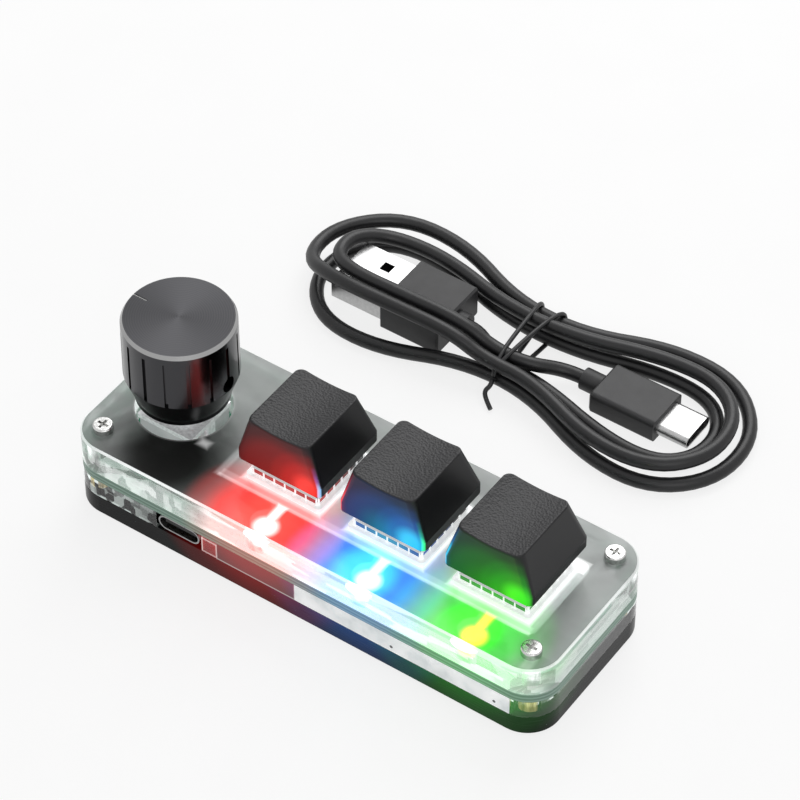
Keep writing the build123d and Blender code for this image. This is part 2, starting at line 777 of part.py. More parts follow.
# Knob: turned body with a chamfered rim, flats between grooves, and a tapered foot
knob_seat = Plane((knob_x, 0, knob_z))
knob_collar_z = knob_height - knob_rim_height - knob_collar_height
shaft_in_knob = shaft_low_z + shaft_length - knob_z
set_screw_axis = Plane((knob_x, 0, knob_z + set_screw_height), x_dir=(0, 1, 0), z_dir=(1, 0, 0))
with BuildPart(knob_seat) as knob:
    with BuildSketch(Plane((knob_x, 0, knob_z), x_dir=(1, 0, 0), z_dir=(0, -1, 0))):
        with BuildLine():
            Polyline(
                (0, 0),
                (knob_foot_diameter / 2, 0),
                (knob_foot_diameter / 2, knob_foot_height),
                (knob_widest_diameter / 2, knob_band_height),
                (knob_rim_diameter / 2, knob_height - knob_rim_height),
                (knob_top_diameter / 2, knob_height),
                (0, knob_height),
                close=True,
            )
        make_face()
    revolve(axis=Axis((knob_x, 0, 0), (0, 0, 1)))
    with BuildSketch(knob_seat.offset(knob_band_height)):
        with PolarLocations(knob_widest_diameter / 2, knob_grooves):
            Rectangle(2 * knob_groove_depth, knob_groove_width)
    extrude(amount=knob_collar_z - knob_band_height, mode=Mode.SUBTRACT)
    with BuildSketch(knob_seat):
        Circle(knob_recess_diameter / 2)
    extrude(amount=knob_recess_depth, mode=Mode.SUBTRACT)
    with BuildSketch(knob_seat):
        Circle(shaft_diameter / 2 + running_fit)
        with Locations((shaft_diameter / 2 - shaft_flat_depth + running_fit, 0)):
            Rectangle(
                shaft_diameter, 2 * shaft_diameter, align=(Align.MIN, Align.CENTER), mode=Mode.SUBTRACT
            )
    extrude(amount=shaft_in_knob + knob_bore_end, mode=Mode.SUBTRACT)
    with BuildSketch(set_screw_axis):
        Circle(set_screw_diameter / 2 + running_fit)
    extrude(amount=knob_widest_diameter, mode=Mode.SUBTRACT)
    with BuildSketch(knob_seat.offset(knob_height)):
        with Locations((-knob_rim_diameter / 2, 0)):
            Rectangle(2 * knob_pointer_length, knob_pointer_width)
    extrude(amount=-knob_pointer_depth, mode=Mode.SUBTRACT)
keep(knob.part, "knob")

# Grub screw in the knob's side, against the shaft's flat
set_screw_start = shaft_diameter / 2 - shaft_flat_depth + running_fit
with BuildPart() as knob_set_screw:
    with BuildSketch(set_screw_axis.offset(set_screw_start)):
        Circle(set_screw_diameter / 2)
    extrude(amount=set_screw_length)
    with BuildSketch(set_screw_axis.offset(set_screw_start + set_screw_length)):
        RegularPolygon(set_screw_socket / 2, 6)
    extrude(amount=-set_screw_length / 2, mode=Mode.SUBTRACT)
keep(knob_set_screw.part, "knob_set_screw")

# USB-C receptacle: a pressed shell under the board, its mouth at the front of the case
port_mouth = Plane((port_x, case_front, board_z - port_height / 2), x_dir=(1, 0, 0), z_dir=(0, 1, 0))
with BuildPart() as usb_shell:
    with BuildSketch(port_mouth):
        SlotOverall(port_width, port_height)
    extrude(amount=port_depth)
    with BuildSketch(port_mouth):
        SlotOverall(port_width - 2 * port_wall, port_height - 2 * port_wall)
    extrude(amount=port_depth - port_wall, mode=Mode.SUBTRACT)
keep(usb_shell.part, "usb_shell")

# Insulator: a block at the back of the shell that carries the tongue
port_back = port_mouth.offset(port_depth - port_wall)
block_inset = port_wall + running_fit
with BuildPart() as usb_tongue:
    with BuildSketch(port_back):
        SlotOverall(port_width - 2 * block_inset, port_height - 2 * block_inset)
    extrude(amount=-port_back_block)
    with BuildSketch(port_back):
        Rectangle(tongue_width, tongue_thickness)
    extrude(amount=tongue_setback + port_wall - port_depth)
keep(usb_tongue.part, "usb_tongue")

# Gilt contacts on both faces of the tongue
with BuildPart() as usb_contacts:
    with BuildSketch(port_mouth.offset(tongue_setback + contact_width)):
        with GridLocations(contact_pitch, tongue_thickness + contact_height, contact_count, 2):
            Rectangle(contact_width, contact_height)
    extrude(amount=contact_length)
keep(usb_contacts.part, "usb_contacts")

# Microcontroller under the board, between two keys: body and a row of legs along each side
chip_x = gap_places[0]
chip_y = case_width * chip_back_share
chip_seat = Plane((chip_x, chip_y, board_z), x_dir=(1, 0, 0), z_dir=(0, 0, -1))
with BuildPart(chip_seat) as microcontroller:
    Box(chip_size, chip_size, chip_thickness, align=upright)
    chamfer(microcontroller.edges().filter_by(Axis.Z), chip_corner_break)
    for turn in (0, 90):
        with Locations(Location((0, 0, 0), (0, 0, turn))):
            with GridLocations(chip_size + chip_leg_length, chip_leg_pitch, 2, chip_leg_count):
                Box(chip_leg_length, chip_leg_width, chip_leg_thickness, align=upright)
keep(microcontroller.part, "microcontroller")

# Crystal can behind the chip
crystal_length, crystal_depth, crystal_height = crystal_size
crystal_y = chip_y + chip_size / 2 + chip_leg_length + crystal_gap + crystal_depth / 2
with BuildPart(Plane((chip_x, crystal_y, board_z), x_dir=(1, 0, 0), z_dir=(0, 0, -1))) as crystal:
    Box(crystal_length, crystal_depth, crystal_height, align=upright)
    fillet(crystal.edges().filter_by(Axis.Z), crystal_height / 2)
keep(crystal.part, "crystal")

# Small passives in rows under the board, in front of both gaps between keys and behind the second
passive_length, passive_depth, passive_height = passive_size
row_y = case_width * passive_row_share
passive_rows = [(gap_places[0], -row_y), (gap_places[-1], -row_y), (gap_places[-1], row_y)]
with BuildPart() as board_passives:
    with BuildSketch(Plane.XY.offset(board_z)):
        with Locations(passive_rows):
            with GridLocations(passive_pitch, passive_pitch, passive_count, 1):
                Rectangle(passive_length, passive_depth)
    extrude(amount=-passive_height)
keep(board_passives.part, "board_passives")

# Lead heights: the strands ride over the tie at the waist, the upper turns lie on the lower ones, and the
# last two turns cross the large plug
lead_low_z = lead_diameter / 2
lead_layer_rise = lead_diameter + lead_layer_gap
waist_lift = tie_thickness + tie_play
waist_x = lead_shift
waist_y = case_width / 2 + lead_setback
c_plug_z = c_body_height / 2
a_plug_z = a_body_height / 2
over_body_z = a_body_height + lead_layer_gap + lead_low_z
over_tip_z = a_plug_z + a_tip_height / 2 + lead_layer_gap + lead_low_z
last_lobe_end = 8 * lead_turns - 2


def lead_point(eighth):
    """One point of the hank and the way the lead runs there, eight to a turn from the waist's front."""
    turn = eighth / 8
    stop = eighth % 8
    lobe = lead_inner_lobe + lead_lobe_step * min(turn, lead_turns - turn)
    end = 1 if stop < 4 else -1
    side = -1 if stop in (7, 0, 1) else 1
    climb_start = (lead_turns - lead_climb_turns) / 2
    climbed = min(max((turn - climb_start) / lead_climb_turns, 0), 1)
    height = over_tip_z if eighth == last_lobe_end else lead_low_z + lead_layer_rise * climbed
    if stop in (0, 4):
        place = Vector(0, side * lobe * lead_waist_share, height + waist_lift)
        go = Vector(-side, 0, 0)
    elif stop in (2, 6):
        place = Vector(end * (lead_lobe_reach + lobe), 0, height)
        go = Vector(0, end, 0)
    else:
        place = Vector(end * lead_lobe_reach, side * lobe, height)
        go = Vector(-side, 0, 0)
    return Vector(waist_x, waist_y, 0) + place, go


def crossing_points(setback):
    """The two points between which a strand lies across the large plug, and the way it runs there."""
    front = Vector(-lead_lobe_reach, -setback, over_body_z)
    back = Vector(a_plug_place[0] - a_collar_length, crossing_lean - setback, over_body_z)
    return [(Vector(waist_x, waist_y, 0) + place, Vector(1, 0, 0)) for place in (front, back)]


# The turns of the hank, of which the last two come back to the waist across the large plug
hank = [lead_point(eighth) for eighth in range(8 * lead_turns + 1)]
waist_points = [point for point, go in hank[::4]]
for turn, setback in ((lead_turns, inner_crossing), (lead_turns - 1, outer_crossing)):
    before_waist = 8 * turn - 1
    hank[before_waist : before_waist + 1] = crossing_points(setback)

# The lead: straight out of each plug for a diameter, and the hank between
a_exit = Vector(waist_x + a_plug_place[0], waist_y + a_plug_place[1], a_plug_z)
c_exit = Vector(waist_x + c_plug_place[0], waist_y + c_plug_place[1], c_plug_z)
run_out = Vector(lead_diameter, 0, 0)
lead_points = [a_exit + run_out, *(point for point, go in hank), c_exit - run_out]
lead_ways = [Vector(1, 0, 0), *(go for point, go in hank), Vector(1, 0, 0)]
with BuildPart() as usb_lead:
    with BuildLine() as lead_route:
        Line(a_exit, lead_points[0])
        draw_through(lead_points, lead_ways)
        Line(lead_points[-1], c_exit)
    with BuildSketch(Plane(a_exit, z_dir=run_out)):
        Circle(lead_diameter / 2)
    sweep(path=lead_route.line)
keep(usb_lead.part, "usb_lead")

lead_line = lead_route.wire()
lead_gap = gap_to_itself(lead_line, lead_diameter)
swept_volume = math.pi * lead_diameter**2 / 4 * lead_line.length
print("lead length", round(lead_line.length, 1), "gap to itself", round(lead_gap, 2))
print("lead volume", round(usb_lead.part.volume), "section times length", round(swept_volume))

# Twist tie: a band round the waist with its twisted tail on the desk
waist_sides = [point.Y for point in waist_points]
waist_tops = [point.Z for point in waist_points]
tie_bend_radius = lead_diameter / 2 + tie_play
tie_low_y = min(waist_sides) - tie_bend_radius
tie_high_y = max(waist_sides) + tie_bend_radius
tie_top_z = max(waist_tops) + tie_bend_radius
tie_span_y = tie_high_y - tie_low_y
tie_span_z = tie_top_z - tie_thickness
tie_y = (tie_low_y + tie_high_y) / 2
tie_z = (tie_thickness + tie_top_z) / 2
tie_middle = Plane((waist_x, tie_y, tie_z), x_dir=(0, 1, 0), z_dir=(1, 0, 0))
tail_root = Vector(waist_x, tie_low_y - tie_thickness / 2, tie_top_z / 2)
tail_end = tail_root + Vector(tie_tail_length / 2, -tie_tail_length, tie_tail_diameter / 2 - tail_root.Z)
with BuildPart() as lead_tie:
    with BuildSketch(tie_middle):
        RectangleRounded(
            tie_span_y + 2 * tie_thickness, tie_span_z + 2 * tie_thickness, tie_bend_radius + tie_thickness
        )
        RectangleRounded(tie_span_y, tie_span_z, tie_bend_radius, mode=Mode.SUBTRACT)
    extrude(amount=tie_width / 2, both=True)
    with BuildLine() as tail_line:
        TangentArc(tail_root, tail_end, tangent=(0, -1, 0))
    with BuildSketch(Plane(tail_root, z_dir=(0, -1, 0))):
        Circle(tie_tail_diameter / 2)
    sweep(path=tail_line.line)
keep(lead_tie.part, "lead_tie")

# Small plug: moulded body with a round collar, and its obround tip
c_back = Plane(c_exit, x_dir=(0, 1, 0), z_dir=(1, 0, 0))
c_front = c_back.offset(c_collar_length + c_body_length)
with BuildPart() as c_plug_body:
    with BuildSketch(c_back.offset(c_collar_length)):
        RectangleRounded(c_body_width, c_body_height, c_body_round)
    extrude(amount=c_body_length)
    chamfer(c_plug_body.faces().sort_by(Axis.X)[0].edges(), edge_break)
    with BuildSketch(c_back):
        Circle(c_collar_diameter / 2)
    extrude(amount=c_collar_length)
keep(c_plug_body.part, "c_plug_body")

with BuildPart() as c_plug_shell:
    with BuildSketch(c_front):
        SlotOverall(c_tip_width, c_tip_height)
    extrude(amount=c_tip_length)
    with BuildSketch(c_front.offset(c_tip_wall)):
        SlotOverall(c_tip_width - 2 * c_tip_wall, c_tip_height - 2 * c_tip_wall)
    extrude(amount=c_tip_length, mode=Mode.SUBTRACT)
keep(c_plug_shell.part, "c_plug_shell")

# Large plug: moulded body with a round collar, its windowed shell and the tongue inside
a_back = Plane(a_exit, x_dir=(0, -1, 0), z_dir=(-1, 0, 0))
a_front = a_back.offset(a_collar_length + a_body_length)
with BuildPart() as a_plug_body:
    with BuildSketch(a_back.offset(a_collar_length)):
        RectangleRounded(a_body_width, a_body_height, a_body_round)
    extrude(amount=a_body_length)
    chamfer(a_plug_body.faces().sort_by(Axis.X)[-1].edges(), edge_break)
    with BuildSketch(a_back):
        Circle(a_collar_diameter / 2)
    extrude(amount=a_collar_length)
keep(a_plug_body.part, "a_plug_body")

with BuildPart() as a_plug_shell:
    with BuildSketch(a_front):
        Rectangle(a_tip_width, a_tip_height)
    extrude(amount=a_tip_length)
    with BuildSketch(a_front.offset(a_tip_wall)):
        Rectangle(a_tip_width - 2 * a_tip_wall, a_tip_height - 2 * a_tip_wall)
    extrude(amount=a_tip_length, mode=Mode.SUBTRACT)
    window_row = a_front.offset(a_window_setback).origin
    with BuildSketch(Plane((window_row.X, window_row.Y, a_plug_z + a_tip_height / 2))):
        with GridLocations(a_window_pitch, a_window_pitch, 1, 2):
            Rectangle(a_window_size, a_window_size)
    extrude(amount=-2 * a_tip_wall, mode=Mode.SUBTRACT)
keep(a_plug_shell.part, "a_plug_shell")

with BuildPart() as a_plug_tongue:
    with BuildSketch(a_front.offset(a_tip_wall)):
        with Locations((0, a_tip_wall - a_tip_height / 2)):
            Rectangle(a_tongue_width, a_tongue_thickness, align=(Align.CENTER, Align.MIN))
    extrude(amount=a_tip_length - 2 * a_tip_wall)
keep(a_plug_tongue.part, "a_plug_tongue")
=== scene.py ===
# %% [markdown]
# # A lit macro keypad, dressed in Blender
# The keypad is a stack of acrylic plates round a circuit board, with three key switches and a knob on top.
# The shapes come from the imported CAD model. This lesson adds what CAD cannot say: how frosted acrylic
# glows over a lamp, how anodised metal is cut bright at a rim, and how a lead lies tied on a desk.

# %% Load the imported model
import bmesh
import bpy
import math
from functools import partial
from mathutils import Matrix, Vector


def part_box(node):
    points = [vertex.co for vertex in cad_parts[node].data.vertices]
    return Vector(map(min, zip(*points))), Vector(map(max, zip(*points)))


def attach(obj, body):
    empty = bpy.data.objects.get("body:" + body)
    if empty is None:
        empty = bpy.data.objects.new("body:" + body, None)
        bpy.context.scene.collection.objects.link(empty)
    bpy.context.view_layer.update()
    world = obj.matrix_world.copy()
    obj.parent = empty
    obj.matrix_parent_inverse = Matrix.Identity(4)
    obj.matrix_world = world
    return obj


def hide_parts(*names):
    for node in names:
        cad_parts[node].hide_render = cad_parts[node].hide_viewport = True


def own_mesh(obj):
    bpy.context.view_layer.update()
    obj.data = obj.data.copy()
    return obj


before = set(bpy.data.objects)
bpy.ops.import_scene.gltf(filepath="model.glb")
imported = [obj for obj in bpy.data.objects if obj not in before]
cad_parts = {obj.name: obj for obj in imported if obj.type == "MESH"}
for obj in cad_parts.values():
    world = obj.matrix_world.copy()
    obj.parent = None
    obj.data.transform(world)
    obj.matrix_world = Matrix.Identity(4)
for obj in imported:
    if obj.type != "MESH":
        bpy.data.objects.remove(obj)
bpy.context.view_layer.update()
MM = 0.001
KEYS = (1, 2, 3)
print("pieces in the model:", len(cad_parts))

# %% [markdown]
# ## Small helpers
# Colours are written as the hex values a paint shop would give. Shaders work in linear light, so one
# function turns them over. Another adds a node with its settings and links. Each material below has a
# function of its own, which reads as a list of what it is made of and returns its shader.

# %% Helpers for colours, nodes and meshes


def linear(hex_colour):
    """Turns an sRGB hex colour into the linear colour that a shader takes."""
    shares = [int(hex_colour[place : place + 2], 16) / 255 for place in (1, 3, 5)]
    return (*(s / 12.92 if s <= 0.04045 else ((s + 0.055) / 1.055) ** 2.4 for s in shares), 1.0)


def add_node(tree, kind, *values, **named):
    """Adds one shader node with its settings and links.

    An operation can follow the kind. Values go to the inputs in order. A name with a capital is an input's,
    with _ for a space, and any other is a setting's. A socket, or a node's first output, is linked.
    """
    kind, _, operation = kind.partition(" ")
    node = tree.nodes.new("ShaderNode" + kind)
    if operation:
        node.operation = operation
    inputs = dict(enumerate(values))
    for name, value in named.items():
        if name[0].isupper():
            inputs[name.replace("_", " ")] = value
        elif name == "stops":
            ramp = node.color_ramp.elements
            while len(ramp) < len(value):
                ramp.new(1.0)
            for stop, (place, colour) in zip(ramp, value):
                stop.position = place
                stop.color = colour
        else:
            setattr(node, name, value)
    for name, value in inputs.items():
        if isinstance(value, bpy.types.Node):
            value = next(socket for socket in value.outputs if socket.enabled)
        if isinstance(value, bpy.types.NodeSocket):
            tree.links.new(value, node.inputs[name])
        else:
            node.inputs[name].default_value = value
    return node


def new_material(name, shade, *values):
    """A node material, from a function that adds its nodes and returns its shader."""
    material = bpy.data.materials.new(name)
    material.use_nodes = True
    material.node_tree.nodes.clear()
    add = partial(add_node, material.node_tree)
    place = add("TexCoord").outputs["Object"]
    add("OutputMaterial", Surface=shade(add, place, *values))
    return material


def two_tone(add, place, patch, dark, light, detail=3):
    """Soft patches of a given size in two close shades, as a colour."""
    noise = add("TexNoise", place, Scale=1 / patch, Detail=detail)
    return add("ValToRGB", noise, stops=[(0.3, linear(dark)), (0.7, linear(light))])


def dress(material, *pieces):
    """Gives each named piece one material."""
    for name in pieces:
        slots = bpy.data.objects[name].data.materials
        if slots:
            slots[0] = material
        else:
            slots.append(material)


def per_key(name):
    """The names of the pieces that each key has one of."""
    return [f"{name}_{key}" for key in KEYS]


def middle(name):
    """The middle of a CAD node's box."""
    low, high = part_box(name)
    return (low + high) / 2


def add_object(name, data):
    """Puts an object into the scene."""
    added = bpy.data.objects.new(name, data)
    bpy.context.scene.collection.objects.link(added)
    return added


def add_piece(name, shape, *materials):
    """Turns a finished bmesh into an object with its materials."""
    mesh = bpy.data.meshes.new(name)
    shape.to_mesh(mesh)
    shape.free()
    for material in materials:
        mesh.materials.append(material)
    return add_object(name, mesh)


# %% [markdown]
# ## The camera
# The picture was taken with a long lens from the front right, looking down at about 46 degrees. The values
# come from matching the corners of the case and the keycaps, so the camera needs no shift.

# %% Place the camera
CAMERA_AZIMUTH = math.radians(34.79)
CAMERA_ELEVATION = math.radians(45.73)
CAMERA_DISTANCE = 679.3 * MM
CAMERA_AIM = Vector((-11.04, 29.70, 8.6)) * MM
CAMERA_LENS = 167.5
CAMERA_SENSOR = 36.0

toward_camera = Vector((
    math.sin(CAMERA_AZIMUTH) * math.cos(CAMERA_ELEVATION),
    -math.cos(CAMERA_AZIMUTH) * math.cos(CAMERA_ELEVATION),
    math.sin(CAMERA_ELEVATION),
))
camera_data = bpy.data.cameras.new("studio_camera")
camera_data.sensor_fit = "HORIZONTAL"
camera_data.sensor_width = CAMERA_SENSOR
camera_data.lens = CAMERA_LENS
camera = add_object("studio_camera", camera_data)
camera.location = CAMERA_AIM + toward_camera * CAMERA_DISTANCE
camera.rotation_euler = toward_camera.to_track_quat("Z", "Y").to_euler()
bpy.context.scene.camera = camera
print("camera at", [round(value / MM) for value in camera.location], "mm")

# %% [markdown]
# ## Wires
# The lead and its tie are smooth lines, so each is one NURBS curve with a round bevel. A bevel of one unit is
# scaled by each point's own radius. That radius also widens the box that Blender keeps for a curve, so it has
# to be the wire's real one.

# %% Draw a wire
CURVE_STEPS = 6


def draw_wire(name, points, radius, roundness, capped=False):
    """One smooth round wire along its control points."""
    curve = bpy.data.curves.new(name, "CURVE")
    curve.dimensions = "3D"
    curve.bevel_depth = 1.0
    curve.bevel_resolution = roundness
    curve.resolution_u = CURVE_STEPS
    curve.use_fill_caps = capped
    line = curve.splines.new("NURBS")
    line.points.add(len(points) - 1)
    for point, place in zip(line.points, points):
        point.co = (*place, 1)
        point.radius = radius
    # These two hold only once the points are there
    line.order_u = 3
    line.use_endpoint_u = True
    return add_object(name, curve)


# %% [markdown]
# ## The lead
# The unplugged lead lies behind the keypad in a hank of three turns, tied at the waist. It starts at the
# large plug, which lies on the desk, and its last two turns cross that plug on their way back to the waist.
# Each turn has sixteen control points: two by the waist, two on the way to each lobe, and four round each
# lobe, set on the corners of an octagon so that the curve runs round a circle.

# %% Lay the lead
LEAD_DIAMETER = 2.8 * MM
LEAD_WAIST = Vector((-3.0, 58.0, 0.0)) * MM
LEAD_TURNS = 3
LOBE_REACH = 31.0 * MM
INNER_LOBE = 8.4 * MM
LOBE_STEP = 6.0 * MM
LAYER_RISE = 3.3 * MM
WAIST_LIFT = 0.6 * MM
WAIST_SHARE = 0.55
CLIMB_TURNS = 0.5
OCTAGON_SHARE = math.tan(math.pi / 8)
# Each control point of half a turn: share of the reach, share of the lobe along it, and share across
HALF_TURN_SHARES = [
    (0.25, 0, -WAIST_SHARE),
    (0.75, 0, -1),
    (1, OCTAGON_SHARE, -1),
    (1, 1, -OCTAGON_SHARE),
    (1, 1, OCTAGON_SHARE),
    (1, OCTAGON_SHARE, 1),
    (0.75, 0, 1),
    (0.25, 0, WAIST_SHARE),
]
HALF_STATIONS = len(HALF_TURN_SHARES)
TURN_STATIONS = 2 * HALF_STATIONS
A_EXIT = Vector((-11.5, -1.0, 3.5)) * MM
C_EXIT = Vector((13.5, 0.8, 2.5)) * MM
TAIL_SHARE = 0.3
# How far in front of the waist's middle a turn crosses the large plug, and how high its lobe ends
CROSSINGS = {2: (9.2 * MM, 4.7 * MM), 3: (5.8 * MM, 7.65 * MM)}
CROSSING_LEAN = 0.6 * MM
CROSSING_HEIGHT = 8.9 * MM
CROSSING_BACK = -13.7 * MM
CROSSING_STATIONS = 5


def lobe_at(turn):
    """Half the width of the lobe at a turn of the hank: out from the start, then in again."""
    return INNER_LOBE + LOBE_STEP * min(turn, LEAD_TURNS - turn)


def height_at(turn):
    """Height of the lead's middle: one layer, a climb while the spiral reverses, then the next layer."""
    climb_start = (LEAD_TURNS - CLIMB_TURNS) / 2
    climbed = min(max((turn - climb_start) / CLIMB_TURNS, 0), 1)
    return LEAD_DIAMETER / 2 + LAYER_RISE * climbed


def hank_point(station):
    """One control point of the hank, sixteen to a turn, from the front of the waist."""
    turn = (station + 0.5) / TURN_STATIONS
    along, along_lobe, across = HALF_TURN_SHARES[station % HALF_STATIONS]
    end = 1 if station % TURN_STATIONS < HALF_STATIONS else -1
    lobe = lobe_at(turn)
    lift = WAIST_LIFT if station % HALF_STATIONS in (0, HALF_STATIONS - 1) else 0
    return Vector((
        end * (LOBE_REACH * along + lobe * along_lobe),
        end * lobe * across,
        height_at(turn) + lift,
    ))


def crossing_points(turn):
    """Control points of a strand from the end of its lobe across the large plug to the waist."""
    setback, lobe_height = CROSSINGS[turn]
    lobe = lobe_at(turn - 0.25)
    lobe_end = -LOBE_REACH - lobe
    near_waist = -lobe_at(turn) * WAIST_SHARE
    return [
        Vector((lobe_end, lobe * OCTAGON_SHARE, lobe_height)),
        Vector((lobe_end, -setback * OCTAGON_SHARE, lobe_height)),
        Vector((-LOBE_REACH - lobe * OCTAGON_SHARE, -setback, CROSSING_HEIGHT)),
        Vector(((CROSSING_BACK - LOBE_REACH) / 2, CROSSING_LEAN / 2 - setback, CROSSING_HEIGHT)),
        Vector((CROSSING_BACK * 0.75, CROSSING_LEAN - setback, CROSSING_HEIGHT)),
        Vector((CROSSING_BACK * 0.25, near_waist, height_at(turn) + WAIST_LIFT)),
    ]


waist_front = -lobe_at(0) * WAIST_SHARE
start_height = height_at(0) + WAIST_LIFT
end_height = height_at(LEAD_TURNS) + WAIST_LIFT
lead_points = [
    A_EXIT,
    Vector((A_EXIT.x * (1 - TAIL_SHARE), A_EXIT.y, A_EXIT.z)),
    Vector((A_EXIT.x * TAIL_SHARE, waist_front, start_height)),
]
for turn in range(1, LEAD_TURNS + 1):
    stations = range(TURN_STATIONS * (turn - 1), TURN_STATIONS * turn)
    turn_points = [hank_point(station) for station in stations]
    if turn in CROSSINGS:
        turn_points[-CROSSING_STATIONS:] = crossing_points(turn)
    lead_points += turn_points
lead_points += [
    Vector((C_EXIT.x * TAIL_SHARE, waist_front, end_height)),
    Vector((C_EXIT.x * (1 - TAIL_SHARE), C_EXIT.y, C_EXIT.z)),
    C_EXIT,
]
lead_path = [LEAD_WAIST + point for point in lead_points]
lead = draw_wire("lead_cable", lead_path, LEAD_DIAMETER / 2, roundness=5)
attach(lead, "case")
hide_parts("usb_lead")
print("lead:", len(lead_points), "control points")

# %% [markdown]
# ## The twist tie
# A thin coated wire goes twice round the waist of the hank and is twisted at the front. Both loops start
# from the twist and lean apart behind it. One NURBS curve makes them, with the twisted tail at its end.

# %% Bend the twist tie
TIE_WIRE = 0.9 * MM
TIE_LEAN = 2.6 * MM
TIE_POINTS = 16
TIE_SQUARENESS = 0.7
TIE_FRONT_SHARE = 0.19
# Points of the twisted tail, as shares of its reach to the right, to the front and up
TAIL_SHARES = [(0, 0.05, 0.9), (0.12, 0.3, 0.7), (-0.1, 0.55, 0.45), (0.35, 0.8, 0.2), (0.9, 1, 0)]
tie_low, tie_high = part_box("lead_tie")
tie_front = tie_low.y + (tie_high.y - tie_low.y) * TIE_FRONT_SHARE


def squared(value):
    """Pulls a sine or cosine towards its limits, so that a ring turns into a rounded box."""
    return math.copysign(abs(value) ** TIE_SQUARENESS, value)


tie_middle = Vector((LEAD_WAIST.x, (tie_front + tie_high.y) / 2, tie_high.z / 2))
tie_half_width = (tie_high.y - tie_front - TIE_WIRE) / 2
tie_half_height = (tie_high.z - TIE_WIRE) / 2
tie_points = []
for loop_side in (-1, 1):
    for count in range(TIE_POINTS):
        angle = 2 * math.pi * count / TIE_POINTS
        tie_points.append(tie_middle + Vector((
            loop_side * TIE_LEAN * (1 - math.cos(angle)) / 2,
            -tie_half_width * squared(math.cos(angle)),
            tie_half_height * squared(math.sin(angle)) * loop_side,
        )))
tail_start = tie_middle + Vector((0, -tie_half_width, 0))
tail_reach = Vector((tie_high.x - LEAD_WAIST.x, tie_front - tie_low.y, tail_start.z - TIE_WIRE / 2))
for right, out, up in TAIL_SHARES:
    tie_points.append(Vector((
        tail_start.x + right * tail_reach.x,
        tail_start.y - out * (tail_reach.y - TIE_WIRE / 2),
        TIE_WIRE / 2 + up * tail_reach.z,
    )))
tie = draw_wire("twist_tie", tie_points, TIE_WIRE / 2, roundness=3, capped=True)
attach(tie, "case")
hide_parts("lead_tie")
print("twist tie:", len(tie_points), "control points")

# %% [markdown]
# The lead can be laid in other ways.

# %% [markdown]
# ## The glow of the lamps
# Each key has a colour lamp under the frosted plate, just in front of its switch. The light spreads in the
# acrylic and colours everything near it. Real scattering would need thousands of samples, and would be lost
# when the model is exported, so each material adds a soft ball of emission round each lamp instead. A lamp
# is pale at its core, strongly coloured round it and deeper in colour further out.

# %% Describe the lamps
LAMP_CORES = {1: "#fff6f2", 2: "#ecfdff", 3: "#fff024"}
LAMP_NEAR = {1: "#ff3428", 2: "#2ad0ff", 3: "#3cf21e"}
LAMP_FAR = {1: "#e3170f", 2: "#1c72d6", 3: "#17b80e"}
BLACK = linear("#000000")
DIM_SHARE = 0.3
DIM_AT = 0.8
deck_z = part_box("top_plate")[1].z
lamp_places = {key: Vector((*middle(f"key_lamp_{key}").xy, deck_z)) for key in KEYS}


def lamp_glow(add, place, reach, shift=(0, 0, 0), near_share=0.3, far_share=0.5, far_level=1.0):
    """Adds soft balls of coloured light round the lamps, and returns their sum as a colour."""
    total = None
    for key in KEYS:
        centre = lamp_places[key] + Vector(shift)
        distance = add("VectorMath DISTANCE", place, centre)
        share = add("Math DIVIDE", distance, reach)
        near = linear(LAMP_NEAR[key])
        far = tuple(value * far_level for value in linear(LAMP_FAR[key]))
        dim = tuple(value * DIM_SHARE for value in far)
        stops = [(0, near), (near_share, near), (far_share, far), (DIM_AT, dim), (1, BLACK)]
        ball = add("ValToRGB", share, stops=stops)
        ball.color_ramp.interpolation = "EASE"
        if total is None:
            total = ball
        else:
            total = add("VectorMath ADD", total, ball)
    return total


print("lamps at", [[round(value / MM, 1) for value in place] for place in lamp_places.values()])

# %% [markdown]
# ## Frosted acrylic
# The top plate is a cast acrylic block. Its top is frosted by fine blasting, so the switches below show only
# as soft shapes; the edge round the top is cut bright, and the sides are polished. One material holds all of
# them: height, slope and the distance from the edge tell which finish a point has. A polished side of a thick
# block shows a jumble of bright blocks, the screws, pillars and holes seen many times over; here they are
# painted reflections, drawn as emission, and the cut edge carries a painted highlight.

# %% Tell the finishes of a plate apart
ACRYLIC_IOR = 1.49
plate_low, plate_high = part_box("top_plate")
plate_size = plate_high - plate_low


def outer_share(add, place):
    """How far out a point of the case is: 1 at its ends and sides, 0 in the middle."""
    outward = add("VectorMath ABSOLUTE", place)
    shares = add("VectorMath MULTIPLY", outward, (2 / plate_size.x, 2 / plate_size.y, 0))
    split = add("SeparateXYZ", shares).outputs
    return add("Math MAXIMUM", split["X"], split["Y"])


def painted_reflection_blocks(add, place, block, darkest):
    """Painted reflections in a polished edge: bright blocks of a given size, as levels from a darkest one up
    to 1.
    """
    cells = add("Mapping", place, Scale=[1 / length for length in block])
    blocks = add("TexVoronoi", cells, Scale=1.0, Randomness=0.8, distance="CHEBYCHEV")
    shade = add("SeparateColor", blocks.outputs["Color"]).outputs["Red"]
    return add("MapRange", shade, 0.4, 0.7, To_Min=darkest)


def soft_box(add, place, centre, half_size, blur):
    """One inside a box in the first two coordinates, fading to zero over a blur's width outside it."""
    offset = add("VectorMath SUBTRACT", place, (*centre, 0))
    away = add("VectorMath ABSOLUTE", offset)
    past = add("VectorMath SUBTRACT", away, (*half_size, 0))
    split = add("SeparateXYZ", past).outputs
    furthest = add("Math MAXIMUM", split["X"], split["Y"])
    return add("MapRange", furthest, blur, 0.0, interpolation_type="SMOOTHSTEP")
